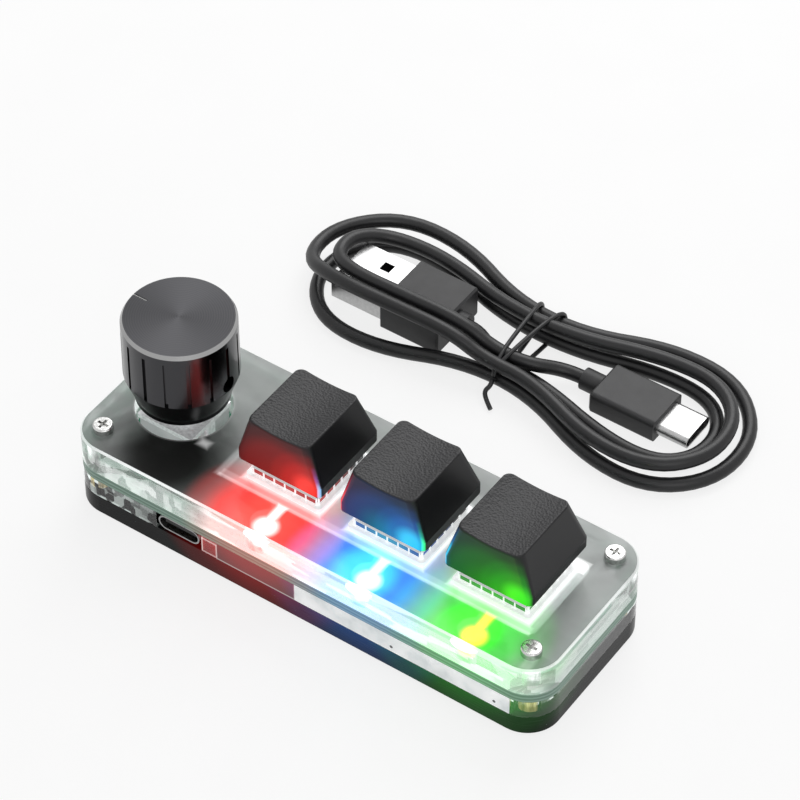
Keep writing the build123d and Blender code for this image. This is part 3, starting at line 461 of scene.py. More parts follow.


# %% [markdown]
# Under the frost, the wall of the milled cavity, the switches and the hole for the encoder catch light. They
# show as pale soft bars and frames of painted light, drawn as emission and listed here as boxes seen from
# above. Each lamp shows in the frost as a bright keyhole: a disc, a tongue that leads back to the switch, and
# a spot where the light leaves through the front edge.

# %% Place the light under the frost
# Middle, half size and blur in millimetres, and level, of the pale shapes of painted light
PAINTED_LIGHT_SHAPES = [
    *(((lamp_places[key].x / MM, 0), (7.9, 7.9), 1.1, 0.75) for key in KEYS),
    ((10.4, -10.0), (32.6, 0.1), 0.5, 0.3),
    ((10.4, -9.2), (32.4, 0.5), 0.5, 0.16),
    ((-22.4, -5.0), (0.2, 4.8), 0.9, 0.25),
    ((41.8, 8.0), (1.3, 1.2), 0.5, 0.6),
    ((-28.7, -5.6), (0.3, 0.05), 1.4, 0.5),
    # Painted reflection: a pale streak under the front right screw, its shank seen through the front corner
    ((46.6, -15.4), (0.5, 1.2), 0.9, 0.25),
]
# From the lamp, in millimetres: middle and radius of the discs; middle, half size and blur of the tongue
CORE_DISCS = [((2.0, -2.6, 0), 2.0), ((2.3, -4.8, -1.6), 1.1)]
CORE_TONGUE = ((1.7, 0.2), (0.3, 2.2), 1.1)
CORE_LEVEL = 1.6
# Shares of a disc's radius at which it is dark, and at which it is full
DISC_FADE = (1.5, 0.7)


def core_light(add, place, deck):
    """The lamps' bright keyholes in the frost, as a colour."""
    total = (0, 0, 0)
    for key in KEYS:
        lamp = lamp_places[key]
        centre, half_size, blur = CORE_TONGUE
        shape = soft_box(add, place, lamp.xy + Vector(centre) * MM, Vector(half_size) * MM, blur * MM)
        shape = add("Math MULTIPLY", shape, deck)
        for disc_middle, radius in CORE_DISCS:
            distance = add("VectorMath DISTANCE", place, lamp + Vector(disc_middle) * MM)
            fade = [share * radius * MM for share in DISC_FADE]
            disc = add("MapRange", distance, *fade, interpolation_type="SMOOTHSTEP")
            shape = add("Math MAXIMUM", shape, disc)
        level = add("Math MULTIPLY", shape, CORE_LEVEL)
        core = add("VectorMath SCALE", linear(LAMP_CORES[key])[:3], Scale=level)
        total = add("VectorMath ADD", total, core)
    return total


# %% Make the top plate's acrylic
FROST_GRIT = 0.14 * MM
FROST_CLOUD = 9 * MM
# Depths below the top between which the frosted face ends
FROST_DEPTHS = (0.08 * MM, 0.02 * MM)
# Middle and reach of the knob's painted shadow on the frost
PAINTED_SHADOW_MIDDLE = Vector((-32, -12, 17)) * MM
PAINTED_SHADOW_REACH = (5 * MM, 20 * MM)
LONG_BLOCK = (7 * MM, 7 * MM, 1.1 * MM)
FINE_BLOCK = (1.9 * MM, 1.9 * MM, 2.6 * MM)
# Heights in the plate between which the small blocks fade upwards
FINE_BLOCK_TOPS = (4.4 * MM, 3.6 * MM)
# Middle, half size and blur of the end with small blocks, and of the front by the keys, with whiter ones
KNOB_END = ((-42 * MM, -12 * MM), (14 * MM, 8 * MM), 8 * MM)
KEYS_FRONT = ((16 * MM, -18 * MM), (34 * MM, 1 * MM), 4 * MM)
# Shares of the way out between which the plate's sides begin
SIDE_SHARES = (0.93, 0.935)
CUT_EDGE_LIGHT = 0.5
HOLE_RADII = (9.3 * MM, 9.1 * MM)
HOLE_LIGHT = 0.1


def shade_frosted_acrylic(add, place):
    """Cast acrylic, blasted on top, cut bright round the top and polished on its sides, with painted light
    and shade.
    """
    up = add("SeparateXYZ", add("TexCoord").outputs["Normal"]).outputs["Z"]
    spot = add("SeparateXYZ", place).outputs
    deck = add("MapRange", spot["Z"], plate_high.z - FROST_DEPTHS[0], plate_high.z - FROST_DEPTHS[1])
    sloped = add("MapRange", up, 0.4, 0.6)
    cut_edge = add("Math SUBTRACT", sloped, deck, use_clamp=True)
    outer = add("MapRange", outer_share(add, place), *SIDE_SHARES)
    side = add("Math SUBTRACT", outer, sloped, use_clamp=True)
    # Grit of the blasting, drawn about as coarse as the picture can show
    grit = add("TexNoise", place, Scale=1 / FROST_GRIT, Detail=2)
    relief = add("Math MULTIPLY", grit, deck)
    bump = add("Bump", Height=relief, Strength=0.15, Distance=0.03 * MM)
    # Painted shadow: the frost in front of the knob is drawn dark, for the knob's shadow
    # cast forward by the light from behind
    frost = two_tone(add, place, FROST_CLOUD, "#aaadad", "#c6c9c8")
    from_painted_shadow = add("VectorMath DISTANCE", place, PAINTED_SHADOW_MIDDLE)
    lit = add("MapRange", from_painted_shadow, *PAINTED_SHADOW_REACH, interpolation_type="SMOOTHSTEP")
    shaded = add("Mix", Factor=lit, A=linear("#141313"), B=frost, data_type="RGBA")
    # Painted lamp light: near a lamp the frost's base colour takes the lamp's colour, so that white light
    # from above does not wash it out
    colours = lamp_glow(add, place, 16 * MM, (0.4 * MM, -1.5 * MM, 0), near_share=0.2, far_share=0.45)
    strength = add("VectorMath LENGTH", colours)
    dyed = add("MapRange", strength, From_Max=0.7, To_Max=0.85)
    frosted = add("Mix", Factor=dyed, A=shaded, B=colours, data_type="RGBA")
    tint = add("Mix", Factor=deck, A=linear("#f6fbfa"), B=frosted, data_type="RGBA")
    milled = add("MapRange", side, To_Min=0.28, To_Max=0.04)
    roughness = add("Mix", Factor=sloped, A=milled, B=0.32)
    # The frost is less clear inside the painted shadow
    deck_clearness = add("MapRange", lit, To_Min=0.2, To_Max=0.6)
    clearness = add("Mix", Factor=sloped, A=1.0, B=deck_clearness)
    # Painted light under the frost: the pale shapes
    pale = 0.0
    for centre, half_size, blur, level in PAINTED_LIGHT_SHAPES:
        scaled = [[value * MM for value in pair] for pair in (centre, half_size)]
        shape = soft_box(add, place, *scaled, blur * MM)
        pale = add("Math MULTIPLY_ADD", shape, level, pale)
    pale = add("Math MULTIPLY", pale, deck)
    # Painted light in the edges: a painted highlight round the top, and painted reflections as small blocks
    # low at the knob's end and long ones elsewhere
    pale = add("Math MULTIPLY_ADD", cut_edge, CUT_EDGE_LIGHT, pale)
    beside = soft_box(add, place, *KEYS_FRONT)
    whiteness = add("MapRange", beside, To_Min=0.3, To_Max=0.85)
    long_blocks = add("Math MULTIPLY", painted_reflection_blocks(add, place, LONG_BLOCK, 0.55), whiteness)
    tops = [plate_low.z + height for height in FINE_BLOCK_TOPS]
    low_part = add("MapRange", spot["Z"], *tops, To_Min=0.2, To_Max=0.6)
    fine_blocks = add("Math MULTIPLY", painted_reflection_blocks(add, place, FINE_BLOCK, 0.3), low_part)
    knob_end = soft_box(add, place, *KNOB_END)
    blocks = add("Mix", Factor=knob_end, A=long_blocks, B=fine_blocks)
    pale = add("Math MULTIPLY_ADD", blocks, side, pale)
    # Painted highlight: the polished wall of the knob's hole is drawn bright with emission
    from_knob = add("VectorMath SUBTRACT", place, middle("knob"))
    flat = add("VectorMath MULTIPLY", from_knob, (1, 1, 0))
    round_knob = add("VectorMath LENGTH", flat)
    hole = add("MapRange", round_knob, *HOLE_RADII, To_Max=HOLE_LIGHT)
    pale = add("Math ADD", pale, hole)
    whites = add("VectorMath SCALE", (1, 1, 1), Scale=pale)
    on_side = add("MapRange", sloped, To_Min=0.25, To_Max=1.0)
    tinted = add("VectorMath SCALE", colours, Scale=on_side)
    under = add("VectorMath ADD", tinted, whites)
    light = add("VectorMath ADD", under, core_light(add, place, deck))
    return add(
        "BsdfPrincipled",
        Base_Color=tint,
        Roughness=roughness,
        Transmission_Weight=clearness,
        IOR=ACRYLIC_IOR,
        Specular_IOR_Level=0.35,
        Normal=bump,
        Emission_Color=light,
        Emission_Strength=0.75,
    )


dress(new_material("cast_acrylic_frosted_top", shade_frosted_acrylic), "top_plate")
print("top plate:", [round(value / MM, 1) for value in plate_size], "mm")

# %% [markdown]
# ## Clear and smoked acrylic
# The frame between base and board is clear and polished on all sides, so it shows the floor, the brass
# pillars and the board's underside. Right of the port the wall is drawn dark and less clear, as painted shade
# for the board's shaded underside seen through it; a painted highlight outlines a clear post at the port's
# end, a painted bright line runs along the joint, and painted reflections show as bright blocks at the left
# corner.
# The base is the same plastic, dyed dark, and it glows a little where the lamps shine down into it.

# %% Make the spacer's and the base's acrylic
# Middle and half size, in x and z on the front, of the clear post beside the port, and the width of its
# outline, a painted highlight
POST_MIDDLE = (-19.1 * MM, 6.6 * MM)
POST_HALF = (1.7 * MM, 1.7 * MM)
POST_LINE = 0.3 * MM
POST_BLUR = 0.12 * MM
# Middle, half size and blur, in x and y, of the painted dark wall from that post to the strip, and of the
# left corner with painted reflections
PAINTED_DARK_WALL = ((-9 * MM, -18 * MM), (8.2 * MM, 2 * MM), 0.4 * MM)
LEFT_CORNER = ((-46 * MM, -18 * MM), (6 * MM, 6 * MM), 16 * MM)
JOINT_LINE = 0.35 * MM
WALL_SHARES = (0.95, 0.955)
EDGE_WHITE = (0.45, 0.5, 0.48)
BASE_HAZE = 7 * MM
SAW_LINES = (6 * MM, 6 * MM, 0.15 * MM)
frame_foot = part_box("spacer_frame")[0].z


def shade_clear_acrylic(add, place):
    """Clear cast acrylic with polished, faintly wavy faces, with painted lamp light, shade, highlights and
    reflections.
    """
    wave = add("TexNoise", place, Scale=1 / (4 * MM), Detail=1)
    bump = add("Bump", Height=wave, Strength=0.1, Distance=0.05 * MM)
    colours = lamp_glow(add, place, 20 * MM, near_share=0.2)
    tinted = add("VectorMath SCALE", colours, Scale=0.5)
    outer = add("MapRange", outer_share(add, place), *WALL_SHARES)
    spot = add("SeparateXYZ", place).outputs
    # Painted shade: right of the port the wall is drawn dark and less clear, for the board's shaded underside
    # behind it
    painted_dark = soft_box(add, place, *PAINTED_DARK_WALL)
    painted_dark = add("Math MULTIPLY", painted_dark, outer)
    tint = add("Mix", Factor=painted_dark, A=linear("#eef6f4"), B=linear("#2b2020"), data_type="RGBA")
    clearness = add("MapRange", painted_dark, To_Min=1.0, To_Max=0.2)
    # Painted highlights: a bright line along the joint, and an outline round the clear post
    joint = add("MapRange", spot["Z"], frame_foot + JOINT_LINE, frame_foot + JOINT_LINE / 2)
    joint = add("Math MULTIPLY", joint, painted_dark)
    on_front = add("CombineXYZ", spot["X"], spot["Z"])
    post = soft_box(add, on_front, POST_MIDDLE, POST_HALF, POST_BLUR)
    inside = [half - POST_LINE for half in POST_HALF]
    hollow = soft_box(add, on_front, POST_MIDDLE, inside, POST_BLUR)
    outline = add("Math SUBTRACT", post, hollow)
    outline = add("Math MULTIPLY_ADD", outline, outer, joint)
    # Painted reflections: bright blocks at the left corner
    left_end = soft_box(add, place, *LEFT_CORNER)
    near_left = add("Math MULTIPLY", left_end, outer)
    blocks = painted_reflection_blocks(add, place, FINE_BLOCK, 0.0)
    pale = add("Math MULTIPLY_ADD", blocks, near_left, outline)
    whites = add("VectorMath SCALE", EDGE_WHITE, Scale=pale)
    light = add("VectorMath ADD", tinted, whites)
    return add(
        "BsdfPrincipled",
        Base_Color=tint,
        Roughness=0.03,
        Transmission_Weight=clearness,
        IOR=ACRYLIC_IOR,
        Normal=bump,
        Emission_Color=light,
        Emission_Strength=0.6,
    )


def shade_smoked_acrylic(add, place):
    """Dark dyed acrylic, sawn and polished, lit from inside near the lamps."""
    colour = two_tone(add, place, BASE_HAZE, "#0f1010", "#191a1a")
    # Fine saw lines along the edge
    sawn = add("Mapping", place, Scale=[1 / length for length in SAW_LINES])
    lines = add("TexNoise", sawn, Scale=1.0, Detail=2)
    roughness = add("MapRange", lines, To_Min=0.18, To_Max=0.34)
    return add(
        "BsdfPrincipled",
        Base_Color=colour,
        Roughness=roughness,
        IOR=ACRYLIC_IOR,
        Specular_IOR_Level=0.08,
        Emission_Color=lamp_glow(add, place, 24 * MM, near_share=0.1),
        Emission_Strength=0.21,
    )


dress(new_material("cast_acrylic_clear", shade_clear_acrylic), "spacer_frame")
dress(new_material("cast_acrylic_smoked", shade_smoked_acrylic), "base_plate")
print("frame from", round(frame_foot / MM, 1), "mm up")

# %% [markdown]
# ## The opal strip
# A white diffuser is let into the front of the frame. It is milky all through, and lights up from behind.
# Two small dark dots are drawn on its front.

# %% Make the opal strip
DARK_DOTS = [Vector((20.1, -17.8, 5.9)) * MM, Vector((41.4, -17.8, 5.9)) * MM]
DOT_RADII = (0.25 * MM, 0.4 * MM)


def shade_opal_acrylic(add, place):
    """Milk-white acrylic, faintly cloudy, lit from behind, with two small dark dots."""
    cloud = add("TexNoise", place, Scale=1 / (5 * MM), Detail=4)
    colour = add("ValToRGB", cloud, stops=[(0.3, linear("#cdd3d4")), (0.65, linear("#f7f8f8"))])
    for mark in DARK_DOTS:
        away = add("VectorMath DISTANCE", place, mark)
        clear = add("MapRange", away, *DOT_RADII)
        colour = add("Mix", Factor=clear, A=linear("#3c3c3c"), B=colour, data_type="RGBA")
    return add(
        "BsdfPrincipled",
        Base_Color=colour,
        Roughness=0.3,
        Subsurface_Weight=0.3,
        Subsurface_Radius=(1 * MM, 1 * MM, 1 * MM),
        Emission_Color=colour,
        Emission_Strength=0.25,
    )


dress(new_material("opal_acrylic", shade_opal_acrylic), "light_strip")
print("pin marks:", len(DARK_DOTS))

# %% [markdown]
# ## The circuit board
# The faces carry green solder mask over copper, and the sawn edge shows the paler glass laminate in layers.

# %% Make the board's laminate


def shade_board_laminate(add, place):
    """Solder mask on the faces, sawn glass laminate on the edge, and painted lamp light near the lamps."""
    facing = add("SeparateXYZ", add("TexCoord").outputs["Normal"]).outputs["Z"]
    flat = add("Math ABSOLUTE", facing)
    layers = add("TexWave", place, Scale=1 / (2.5 * MM), Distortion=1.5, Detail=2, bands_direction="Z")
    edge = add(
        "ValToRGB", layers.outputs["Fac"], stops=[(0.2, linear("#5d7a6c")), (0.8, linear("#82a08f"))]
    )
    mask = add("TexNoise", place, Scale=1 / (6 * MM), Detail=3)
    face = add("ValToRGB", mask, stops=[(0.35, linear("#0f6b4c")), (0.65, linear("#178a63"))])
    colour = add("Mix", Factor=flat, A=edge, B=face, data_type="RGBA")
    return add(
        "BsdfPrincipled",
        Base_Color=colour,
        Roughness=0.4,
        Emission_Color=lamp_glow(add, place, 18 * MM, near_share=0.25),
        Emission_Strength=0.32,
    )


dress(new_material("glass_laminate_solder_mask", shade_board_laminate), "circuit_board")
print("board:", round(middle("circuit_board").z / MM, 1), "mm up")

# %% [markdown]
# ## Keycaps
# The caps are moulded in black plastic. The tool that formed the top was etched to a fine leathery grain, and
# the sides are smoother. A cap's front catches the colour of the lamp below it, most near the lower right
# corner, and its upright edges catch the colour of the lamp next door.

# %% Make the keycap plastic
CAP_GRAIN = 0.42 * MM
SIDE_GRAIN = 0.16 * MM
# Reach of the lamp's light on a cap's front, and how far its middle lies from the lamp
LIGHT_SETBACK = 4 * MM
WASH = (12.5 * MM, (0, LIGHT_SETBACK, 5.6 * MM))
SPOT = (8.5 * MM, (6.4 * MM, LIGHT_SETBACK, 6.4 * MM))
# Side, reach and lift of the next lamp's light on an upright edge
EDGE_LIGHTS = [(1, 9 * MM, 8 * MM), (-1, 6.5 * MM, 6 * MM)]
cap_low, cap_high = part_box("keycap_1")
cap_half = (cap_high.x - cap_low.x) / 2
key_pitch = lamp_places[2].x - lamp_places[1].x


def shade_keycap_plastic(add, place):
    """Moulded black plastic, leathery on top and satin on the sides, lit from below in front."""
    facing = add("SeparateXYZ", add("TexCoord").outputs["Normal"]).outputs
    top = add("MapRange", facing["Z"], 0.75, 0.93)
    leather = add(
        "TexVoronoi", place, Scale=1 / CAP_GRAIN, Smoothness=0.5, Randomness=1.0, feature="SMOOTH_F1"
    )
    satin = add("TexNoise", place, Scale=1 / SIDE_GRAIN, Detail=2)
    height = add("Mix", Factor=top, A=satin, B=leather)
    strength = add("MapRange", top, To_Min=0.1, To_Max=0.8)
    bump = add("Bump", Height=height, Strength=strength, Distance=0.09 * MM)
    # Painted light: the top is drawn lighter than the sides of the same black plastic, for the light from
    # above
    colour = add("Mix", Factor=top, A=linear("#111113"), B=linear("#1f1f21"), data_type="RGBA")
    # Painted lamp light: the lamp's own light on the front, and the next lamps' light on the upright edges
    front = add("MapRange", facing["Y"], -0.4, -0.85)
    wash = lamp_glow(add, place, *WASH, near_share=0)
    weak = add("VectorMath SCALE", wash, Scale=0.24)
    spot = lamp_glow(add, place, *SPOT, near_share=0.12, far_level=0.4)
    own = add("VectorMath ADD", weak, spot)
    light = add("VectorMath SCALE", own, Scale=front)
    corner = add("Math MULTIPLY", facing["X"], facing["Y"])
    for end, reach, lift in EDGE_LIGHTS:
        edge = add("MapRange", corner, end * 0.37, end * 0.47)
        shift = (end * (key_pitch - cap_half), LIGHT_SETBACK, lift)
        next_door = lamp_glow(add, place, reach, shift, near_share=0.2, far_level=0.5)
        caught = add("VectorMath SCALE", next_door, Scale=edge)
        light = add("VectorMath ADD", light, caught)
    return add(
        "BsdfPrincipled",
        Base_Color=colour,
        Roughness=0.42,
        Specular_IOR_Level=0.3,
        Normal=bump,
        Emission_Color=light,
        Emission_Strength=0.85,
    )


dress(new_material("moulded_pbt_black", shade_keycap_plastic), *per_key("keycap"))
print("keys", round(key_pitch / MM, 2), "mm apart")

# %% [markdown]
# ## Key switches
# The lower housing is milky nylon, drawn with a painted glow, and its flange shows as a white frame under
# each cap. The cover above it is darker. It clips into the flange, and the clips show as a low row of white
# frames with dark windows; cover and windows carry painted lamp light.

# %% Make the switch plastics
NYLON_CLOUD = 2 * MM
COVER_FLOW = 1.5 * MM
COVER_GLOW = 0.14
WINDOW_GLOW = 0.5


def shade_switch_nylon(add, place):
    """Milky moulded nylon, drawn with a painted glow in its own colour for the light it takes up round it."""
    colour = two_tone(add, place, NYLON_CLOUD, "#e6e8e8", "#f6f7f7")
    return add(
        "BsdfPrincipled", Base_Color=colour, Roughness=0.35, Emission_Color=colour, Emission_Strength=0.45
    )


def shade_switch_cover(add, place, brightness):
    """Smoky polycarbonate, with painted light from the lamp in front of it."""
    colour = two_tone(add, place, COVER_FLOW, "#0c0c0e", "#202024", detail=2)
    return add(
        "BsdfPrincipled",
        Base_Color=colour,
        Roughness=0.2,
        Emission_Color=lamp_glow(add, place, 15 * MM, (0, LIGHT_SETBACK, 0), near_share=0.05),
        Emission_Strength=brightness,
    )


switch_nylon = new_material("moulded_nylon_milky", shade_switch_nylon)
clip_window = new_material("clear_polycarbonate_window", shade_switch_cover, WINDOW_GLOW)
switch_cover = new_material("moulded_polycarbonate_smoke", shade_switch_cover, COVER_GLOW)
dress(switch_nylon, *per_key("switch_lower_housing"))
dress(switch_cover, *per_key("switch_upper_housing"))
print("switches:", len(KEYS))

# %% [markdown]
# A row of clips is a bar with windows sunk in its outer face. It starts as a flat grid, one cell to a window.
# The grid is drawn out to a bar, and the outer faces are inset one by one and pushed in. One row is turned to
# all four sides of the switch.

# %% Model the clip rows
CLIP_HEIGHT = 1.5 * MM
CLIP_DEPTH = 0.5 * MM
CLIP_FRAME = 0.2 * MM
CLIP_SINK = 0.3 * MM
CLIP_CELLS = 6
CLIP_ROWS = 4
CLIP_CLEARANCE = 0.06 * MM
flange_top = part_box("switch_lower_housing_1")[1].z
cover_low, cover_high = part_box("switch_upper_housing_1")


def faces_of(verts):
    """The faces that meet at some vertices, each once and in the same order on every run."""
    return list(dict.fromkeys(face for vert in verts for face in vert.link_faces))


def build_clip_row(shape, turn, centre):
    """Adds one windowed bar to a bmesh, on the side of the switch that a turn gives."""
    grid = bmesh.ops.create_grid(shape, x_segments=CLIP_CELLS, y_segments=1, size=0.5)["verts"]
    length = cover_high.x - cover_low.x
    bmesh.ops.scale(shape, vec=(length, CLIP_HEIGHT, 1), verts=grid)
    bmesh.ops.rotate(shape, matrix=Matrix.Rotation(math.pi / 2, 3, "X"), verts=grid)
    drawn = bmesh.ops.extrude_face_region(shape, geom=faces_of(grid), use_keep_orig=True)["geom"]
    back = [item for item in drawn if isinstance(item, bmesh.types.BMVert)]
    bmesh.ops.translate(shape, vec=(0, CLIP_DEPTH, 0), verts=back)
    bar = grid + back
    faces = faces_of(bar)
    bmesh.ops.recalc_face_normals(shape, faces=faces)
    outer = [face for face in faces if face.normal.y < -0.9]
    bmesh.ops.inset_individual(shape, faces=outer, thickness=CLIP_FRAME, depth=-CLIP_SINK)
    for face in outer:
        face.material_index = 1
    bar = list(dict.fromkeys([*bar, *(vert for face in outer for vert in face.verts)]))
    out = (cover_high.y - cover_low.y) / 2 + CLIP_CLEARANCE + CLIP_DEPTH
    bmesh.ops.translate(shape, vec=(0, -out, 0), verts=bar)
    bmesh.ops.rotate(shape, matrix=Matrix.Rotation(turn, 3, "Z"), verts=bar)
    bmesh.ops.translate(shape, vec=(centre.x, centre.y, flange_top + CLIP_HEIGHT / 2), verts=bar)


for key in KEYS:
    shape = bmesh.new()
    for row in range(CLIP_ROWS):
        build_clip_row(shape, row * math.tau / CLIP_ROWS, middle(f"switch_upper_housing_{key}"))
    clips = add_piece(f"switch_clips_{key}", shape, switch_nylon, clip_window)
    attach(clips, "case")
print("clip rows:", CLIP_ROWS * len(KEYS))

# %% [markdown]
# ## Metals
# Screws are bright nickel, plug and port shells plated steel, the pillars turned brass, and the encoder is
# zinc-plated. They are all one shader with its own colours, roughness and fine marks, so one function makes
# them. Light that runs in the acrylic reaches the pillars and the encoder's cover from all sides, so both
# glow.

# %% Make the metals
ROUGH_SPREAD = (0.8, 1.3)
ZINC_PIECES = ["encoder_bushing", "encoder_shaft", *per_key("switch_pins")]
# Name, dark and light shade, roughness, size of the marks in mm, their share along Z, glow, and pieces
METALS = [
    ("plated_nickel_bright", "#b4b4b3", "#d8d8d6", 0.2, 0.5, 1, 0, ["case_screws", "base_screws"]),
    ("plated_steel_shell", "#8f8f8f", "#a6a6a6", 0.28, 0.6, 1, 0, ["usb_shell", "crystal"]),
    ("plated_steel_plug", "#aaaaaa", "#bcbcbc", 0.3, 0.6, 1, 0, ["c_plug_shell", "a_plug_shell"]),
    ("turned_brass", "#8a6f38", "#e2ca8c", 0.35, 0.5, 0.1, 0.45, ["pillars"]),
    ("zinc_plated_cover", "#b9babb", "#d8d9da", 0.4, 0.6, 1, 0.4, ["encoder_cover"]),
    ("zinc_plated_steel", "#b9babb", "#d8d9da", 0.3, 0.6, 1, 0, ZINC_PIECES),
    ("drawn_spring_steel", "#8d8f91", "#b5b7b9", 0.25, 0.3, 1, 0, ["encoder_dome", "encoder_pins"]),
    ("blackened_steel", "#2a2a2b", "#38383a", 0.45, 0.3, 1, 0, ["knob_set_screw"]),
    ("gilt_contact", "#c79a45", "#e5c06c", 0.2, 0.3, 1, 0, ["usb_contacts"]),
]


def shade_metal(add, place, dark, light, roughness, mark, stretch, glow):
    """A metal with fine tool marks, drawn out along Z by a share, and lit by what is round it."""
    marks = add("Mapping", place, Scale=[share / (mark * MM) for share in (1, 1, stretch)])
    noise = add("TexNoise", marks, Scale=1.0, Detail=3)
    colour = add("ValToRGB", noise, stops=[(0.3, linear(dark)), (0.7, linear(light))])
    smoothest, roughest = (roughness * share for share in ROUGH_SPREAD)
    rough = add("MapRange", noise, To_Min=smoothest, To_Max=roughest)
    return add(
        "BsdfPrincipled",
        Base_Color=colour,
        Metallic=1.0,
        Roughness=rough,
        Emission_Color=colour,
        Emission_Strength=glow,
    )


for name, *finish, pieces in METALS:
    dress(new_material(name, shade_metal, *finish), *pieces)
print("metals:", len(METALS))

# %% [markdown]
# ## Return springs
# A spring shortens as its key goes down, and a CAD solid keeps its length. Each spring is wound anew, inside
# the box that the CAD spring fills. Its wire is a round ring of points, turned up along a coil. The first and
# the last turn lie almost flat, as they do on a spring with closed ends.

# %% Wind the return springs
WIRE_RADIUS = 0.25 * MM
WIRE_SIDES = 10
COIL_TURNS = 6
COIL_STEPS = 28
COIL_PLAY = 0.05 * MM
FLAT_TURN = 1 / COIL_TURNS
FLAT_RISE = 0.09


def coil_rise(share):
    """The share of the spring's rise at a share of its wire: slow, then even, then slow again."""
    if share < FLAT_TURN:
        return FLAT_RISE * share / FLAT_TURN
    if share > 1 - FLAT_TURN:
        return 1 - FLAT_RISE * (1 - share) / FLAT_TURN
    return FLAT_RISE + (1 - 2 * FLAT_RISE) * (share - FLAT_TURN) / (1 - 2 * FLAT_TURN)


def wind_spring(shape, low, high):
    """Winds one spring in a bmesh, inside the box that the CAD spring fills."""
    centre = (low + high) / 2
    radius = (high.x - low.x) / 2 - WIRE_RADIUS
    foot = low.z + WIRE_RADIUS + COIL_PLAY
    rise = high.z - low.z - 2 * (WIRE_RADIUS + COIL_PLAY)
    steps = COIL_TURNS * COIL_STEPS
    rings = []
    for step in range(steps + 1):
        turn = Matrix.Rotation(2 * math.pi * step / COIL_STEPS, 3, "Z")
        ring = bmesh.ops.create_circle(
            shape, cap_ends=step in (0, steps), segments=WIRE_SIDES, radius=WIRE_RADIUS
        )["verts"]
        bmesh.ops.rotate(shape, matrix=turn @ Matrix.Rotation(math.pi / 2, 3, "X"), verts=ring)
        out = turn @ Vector((radius, 0, 0))
        up = foot + rise * coil_rise(step / steps)
        bmesh.ops.translate(shape, vec=(centre.x + out.x, centre.y + out.y, up), verts=ring)
        rings.append(ring)
    for near, far in zip(rings, rings[1:]):
        for side in range(WIRE_SIDES):
            after = (side + 1) % WIRE_SIDES
            face = shape.faces.new((near[side], near[after], far[after], far[side]))
            face.smooth = True
    bmesh.ops.recalc_face_normals(shape, faces=shape.faces)


for key in KEYS:
    low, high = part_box(f"switch_spring_{key}")
    shape = bmesh.new()
    wind_spring(shape, low, high)
    spring = add_piece(f"return_spring_{key}", shape, bpy.data.materials["drawn_spring_steel"])
    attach(spring, "case")
    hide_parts(f"switch_spring_{key}")
    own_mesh(spring)

# %% [markdown]
# ## The knob
# The knob is turned aluminium, anodised black. Its top was faced on a lathe, and the rings it leaves stretch
# each reflection into a fan, which the shader's anisotropy gives. The side was turned fine before it was
# dyed, so it mirrors the dark and the lit parts of the deck softly. The rim was cut again after anodising, so
# it is bright, and the floor of the pointer's groove is drawn pale and not metallic. Height and the slope of
# the face tell these apart.

# %% Make the anodised aluminium
LATHE_RING = 0.434 * MM
# A wave node at a scale of one repeats over this length
WAVE_PERIOD = math.tau / 20
# Depths below the top at which the cut rim begins, and at which the groove's pale floor does
RIM_DEPTHS = (0.8 * MM, 0.7 * MM)
POINTER_DEPTHS = (0.04 * MM, 0.08 * MM)
knob_low, knob_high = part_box("knob")
knob_middle = middle("knob")


def shade_anodised_aluminium(add, place):
    """Black anodised aluminium with lathe rings on top and a bright cut rim."""
    facing = add("SeparateXYZ", add("TexCoord").outputs["Normal"]).outputs["Z"]
    from_axis = (-knob_middle.x, -knob_middle.y, 0)
    centred = add("Mapping", place, Location=from_axis)
    height = add("SeparateXYZ", centred).outputs["Z"]
    rings = add(
        "TexWave",
        centred,
        Scale=WAVE_PERIOD / LATHE_RING,
        Distortion=0.6,
        Detail=2,
        wave_type="RINGS",
        rings_direction="Z",
    )
    top = add("MapRange", facing, 0.9, 0.98)
    sloped = add("MapRange", facing, 0.35, 0.45)
    near_top = add("MapRange", height, knob_high.z - RIM_DEPTHS[0], knob_high.z - RIM_DEPTHS[1])
    not_top = add("Math SUBTRACT", sloped, top)
    rim = add("Math MULTIPLY", not_top, near_top, use_clamp=True)
    turned = add(
        "ValToRGB", rings.outputs["Fac"], stops=[(0.2, linear("#404042")), (0.8, linear("#454547"))]
    )
    body = add("Mix", Factor=top, A=linear("#404042"), B=turned, data_type="RGBA")
    cut = add("Mix", Factor=rim, A=body, B=linear("#9c9c9c"), data_type="RGBA")
    # The groove's pale floor is no metal
    sunk = add("MapRange", height, knob_high.z - POINTER_DEPTHS[0], knob_high.z - POINTER_DEPTHS[1])
    groove_floor = add("Math MULTIPLY", sunk, top)
    pointer = add("Math MULTIPLY", groove_floor, near_top)
    colour = add("Mix", Factor=pointer, A=cut, B=linear("#e4e4e2"), data_type="RGBA")
    metal = add("Math SUBTRACT", 1.0, pointer)
    roughness = add("MapRange", top, To_Min=0.2, To_Max=0.42)
    strength = add("MapRange", top, To_Min=0.0, To_Max=0.025)
    bump = add("Bump", Height=rings.outputs["Fac"], Strength=strength, Distance=0.02 * MM)
    round_axis = add("Tangent", direction_type="RADIAL", axis="Z")
    return add(
        "BsdfPrincipled",
        Base_Color=colour,
        Metallic=metal,
        Roughness=roughness,
        Anisotropic=0.7,
        Tangent=round_axis,
        Normal=bump,
    )


dress(new_material("anodised_aluminium_black", shade_anodised_aluminium), "knob")
print("knob:", round((knob_high.z - knob_low.z) / MM, 1), "mm high")

# %% [markdown]
# ## Plain mouldings, rubber and epoxy
# What is left is ordinary plastic and rubber: plug mouldings, the lead's jacket, feet, chips and the insides
# of switches. Each has its own colour and a grain of its own size, and one function makes them all.

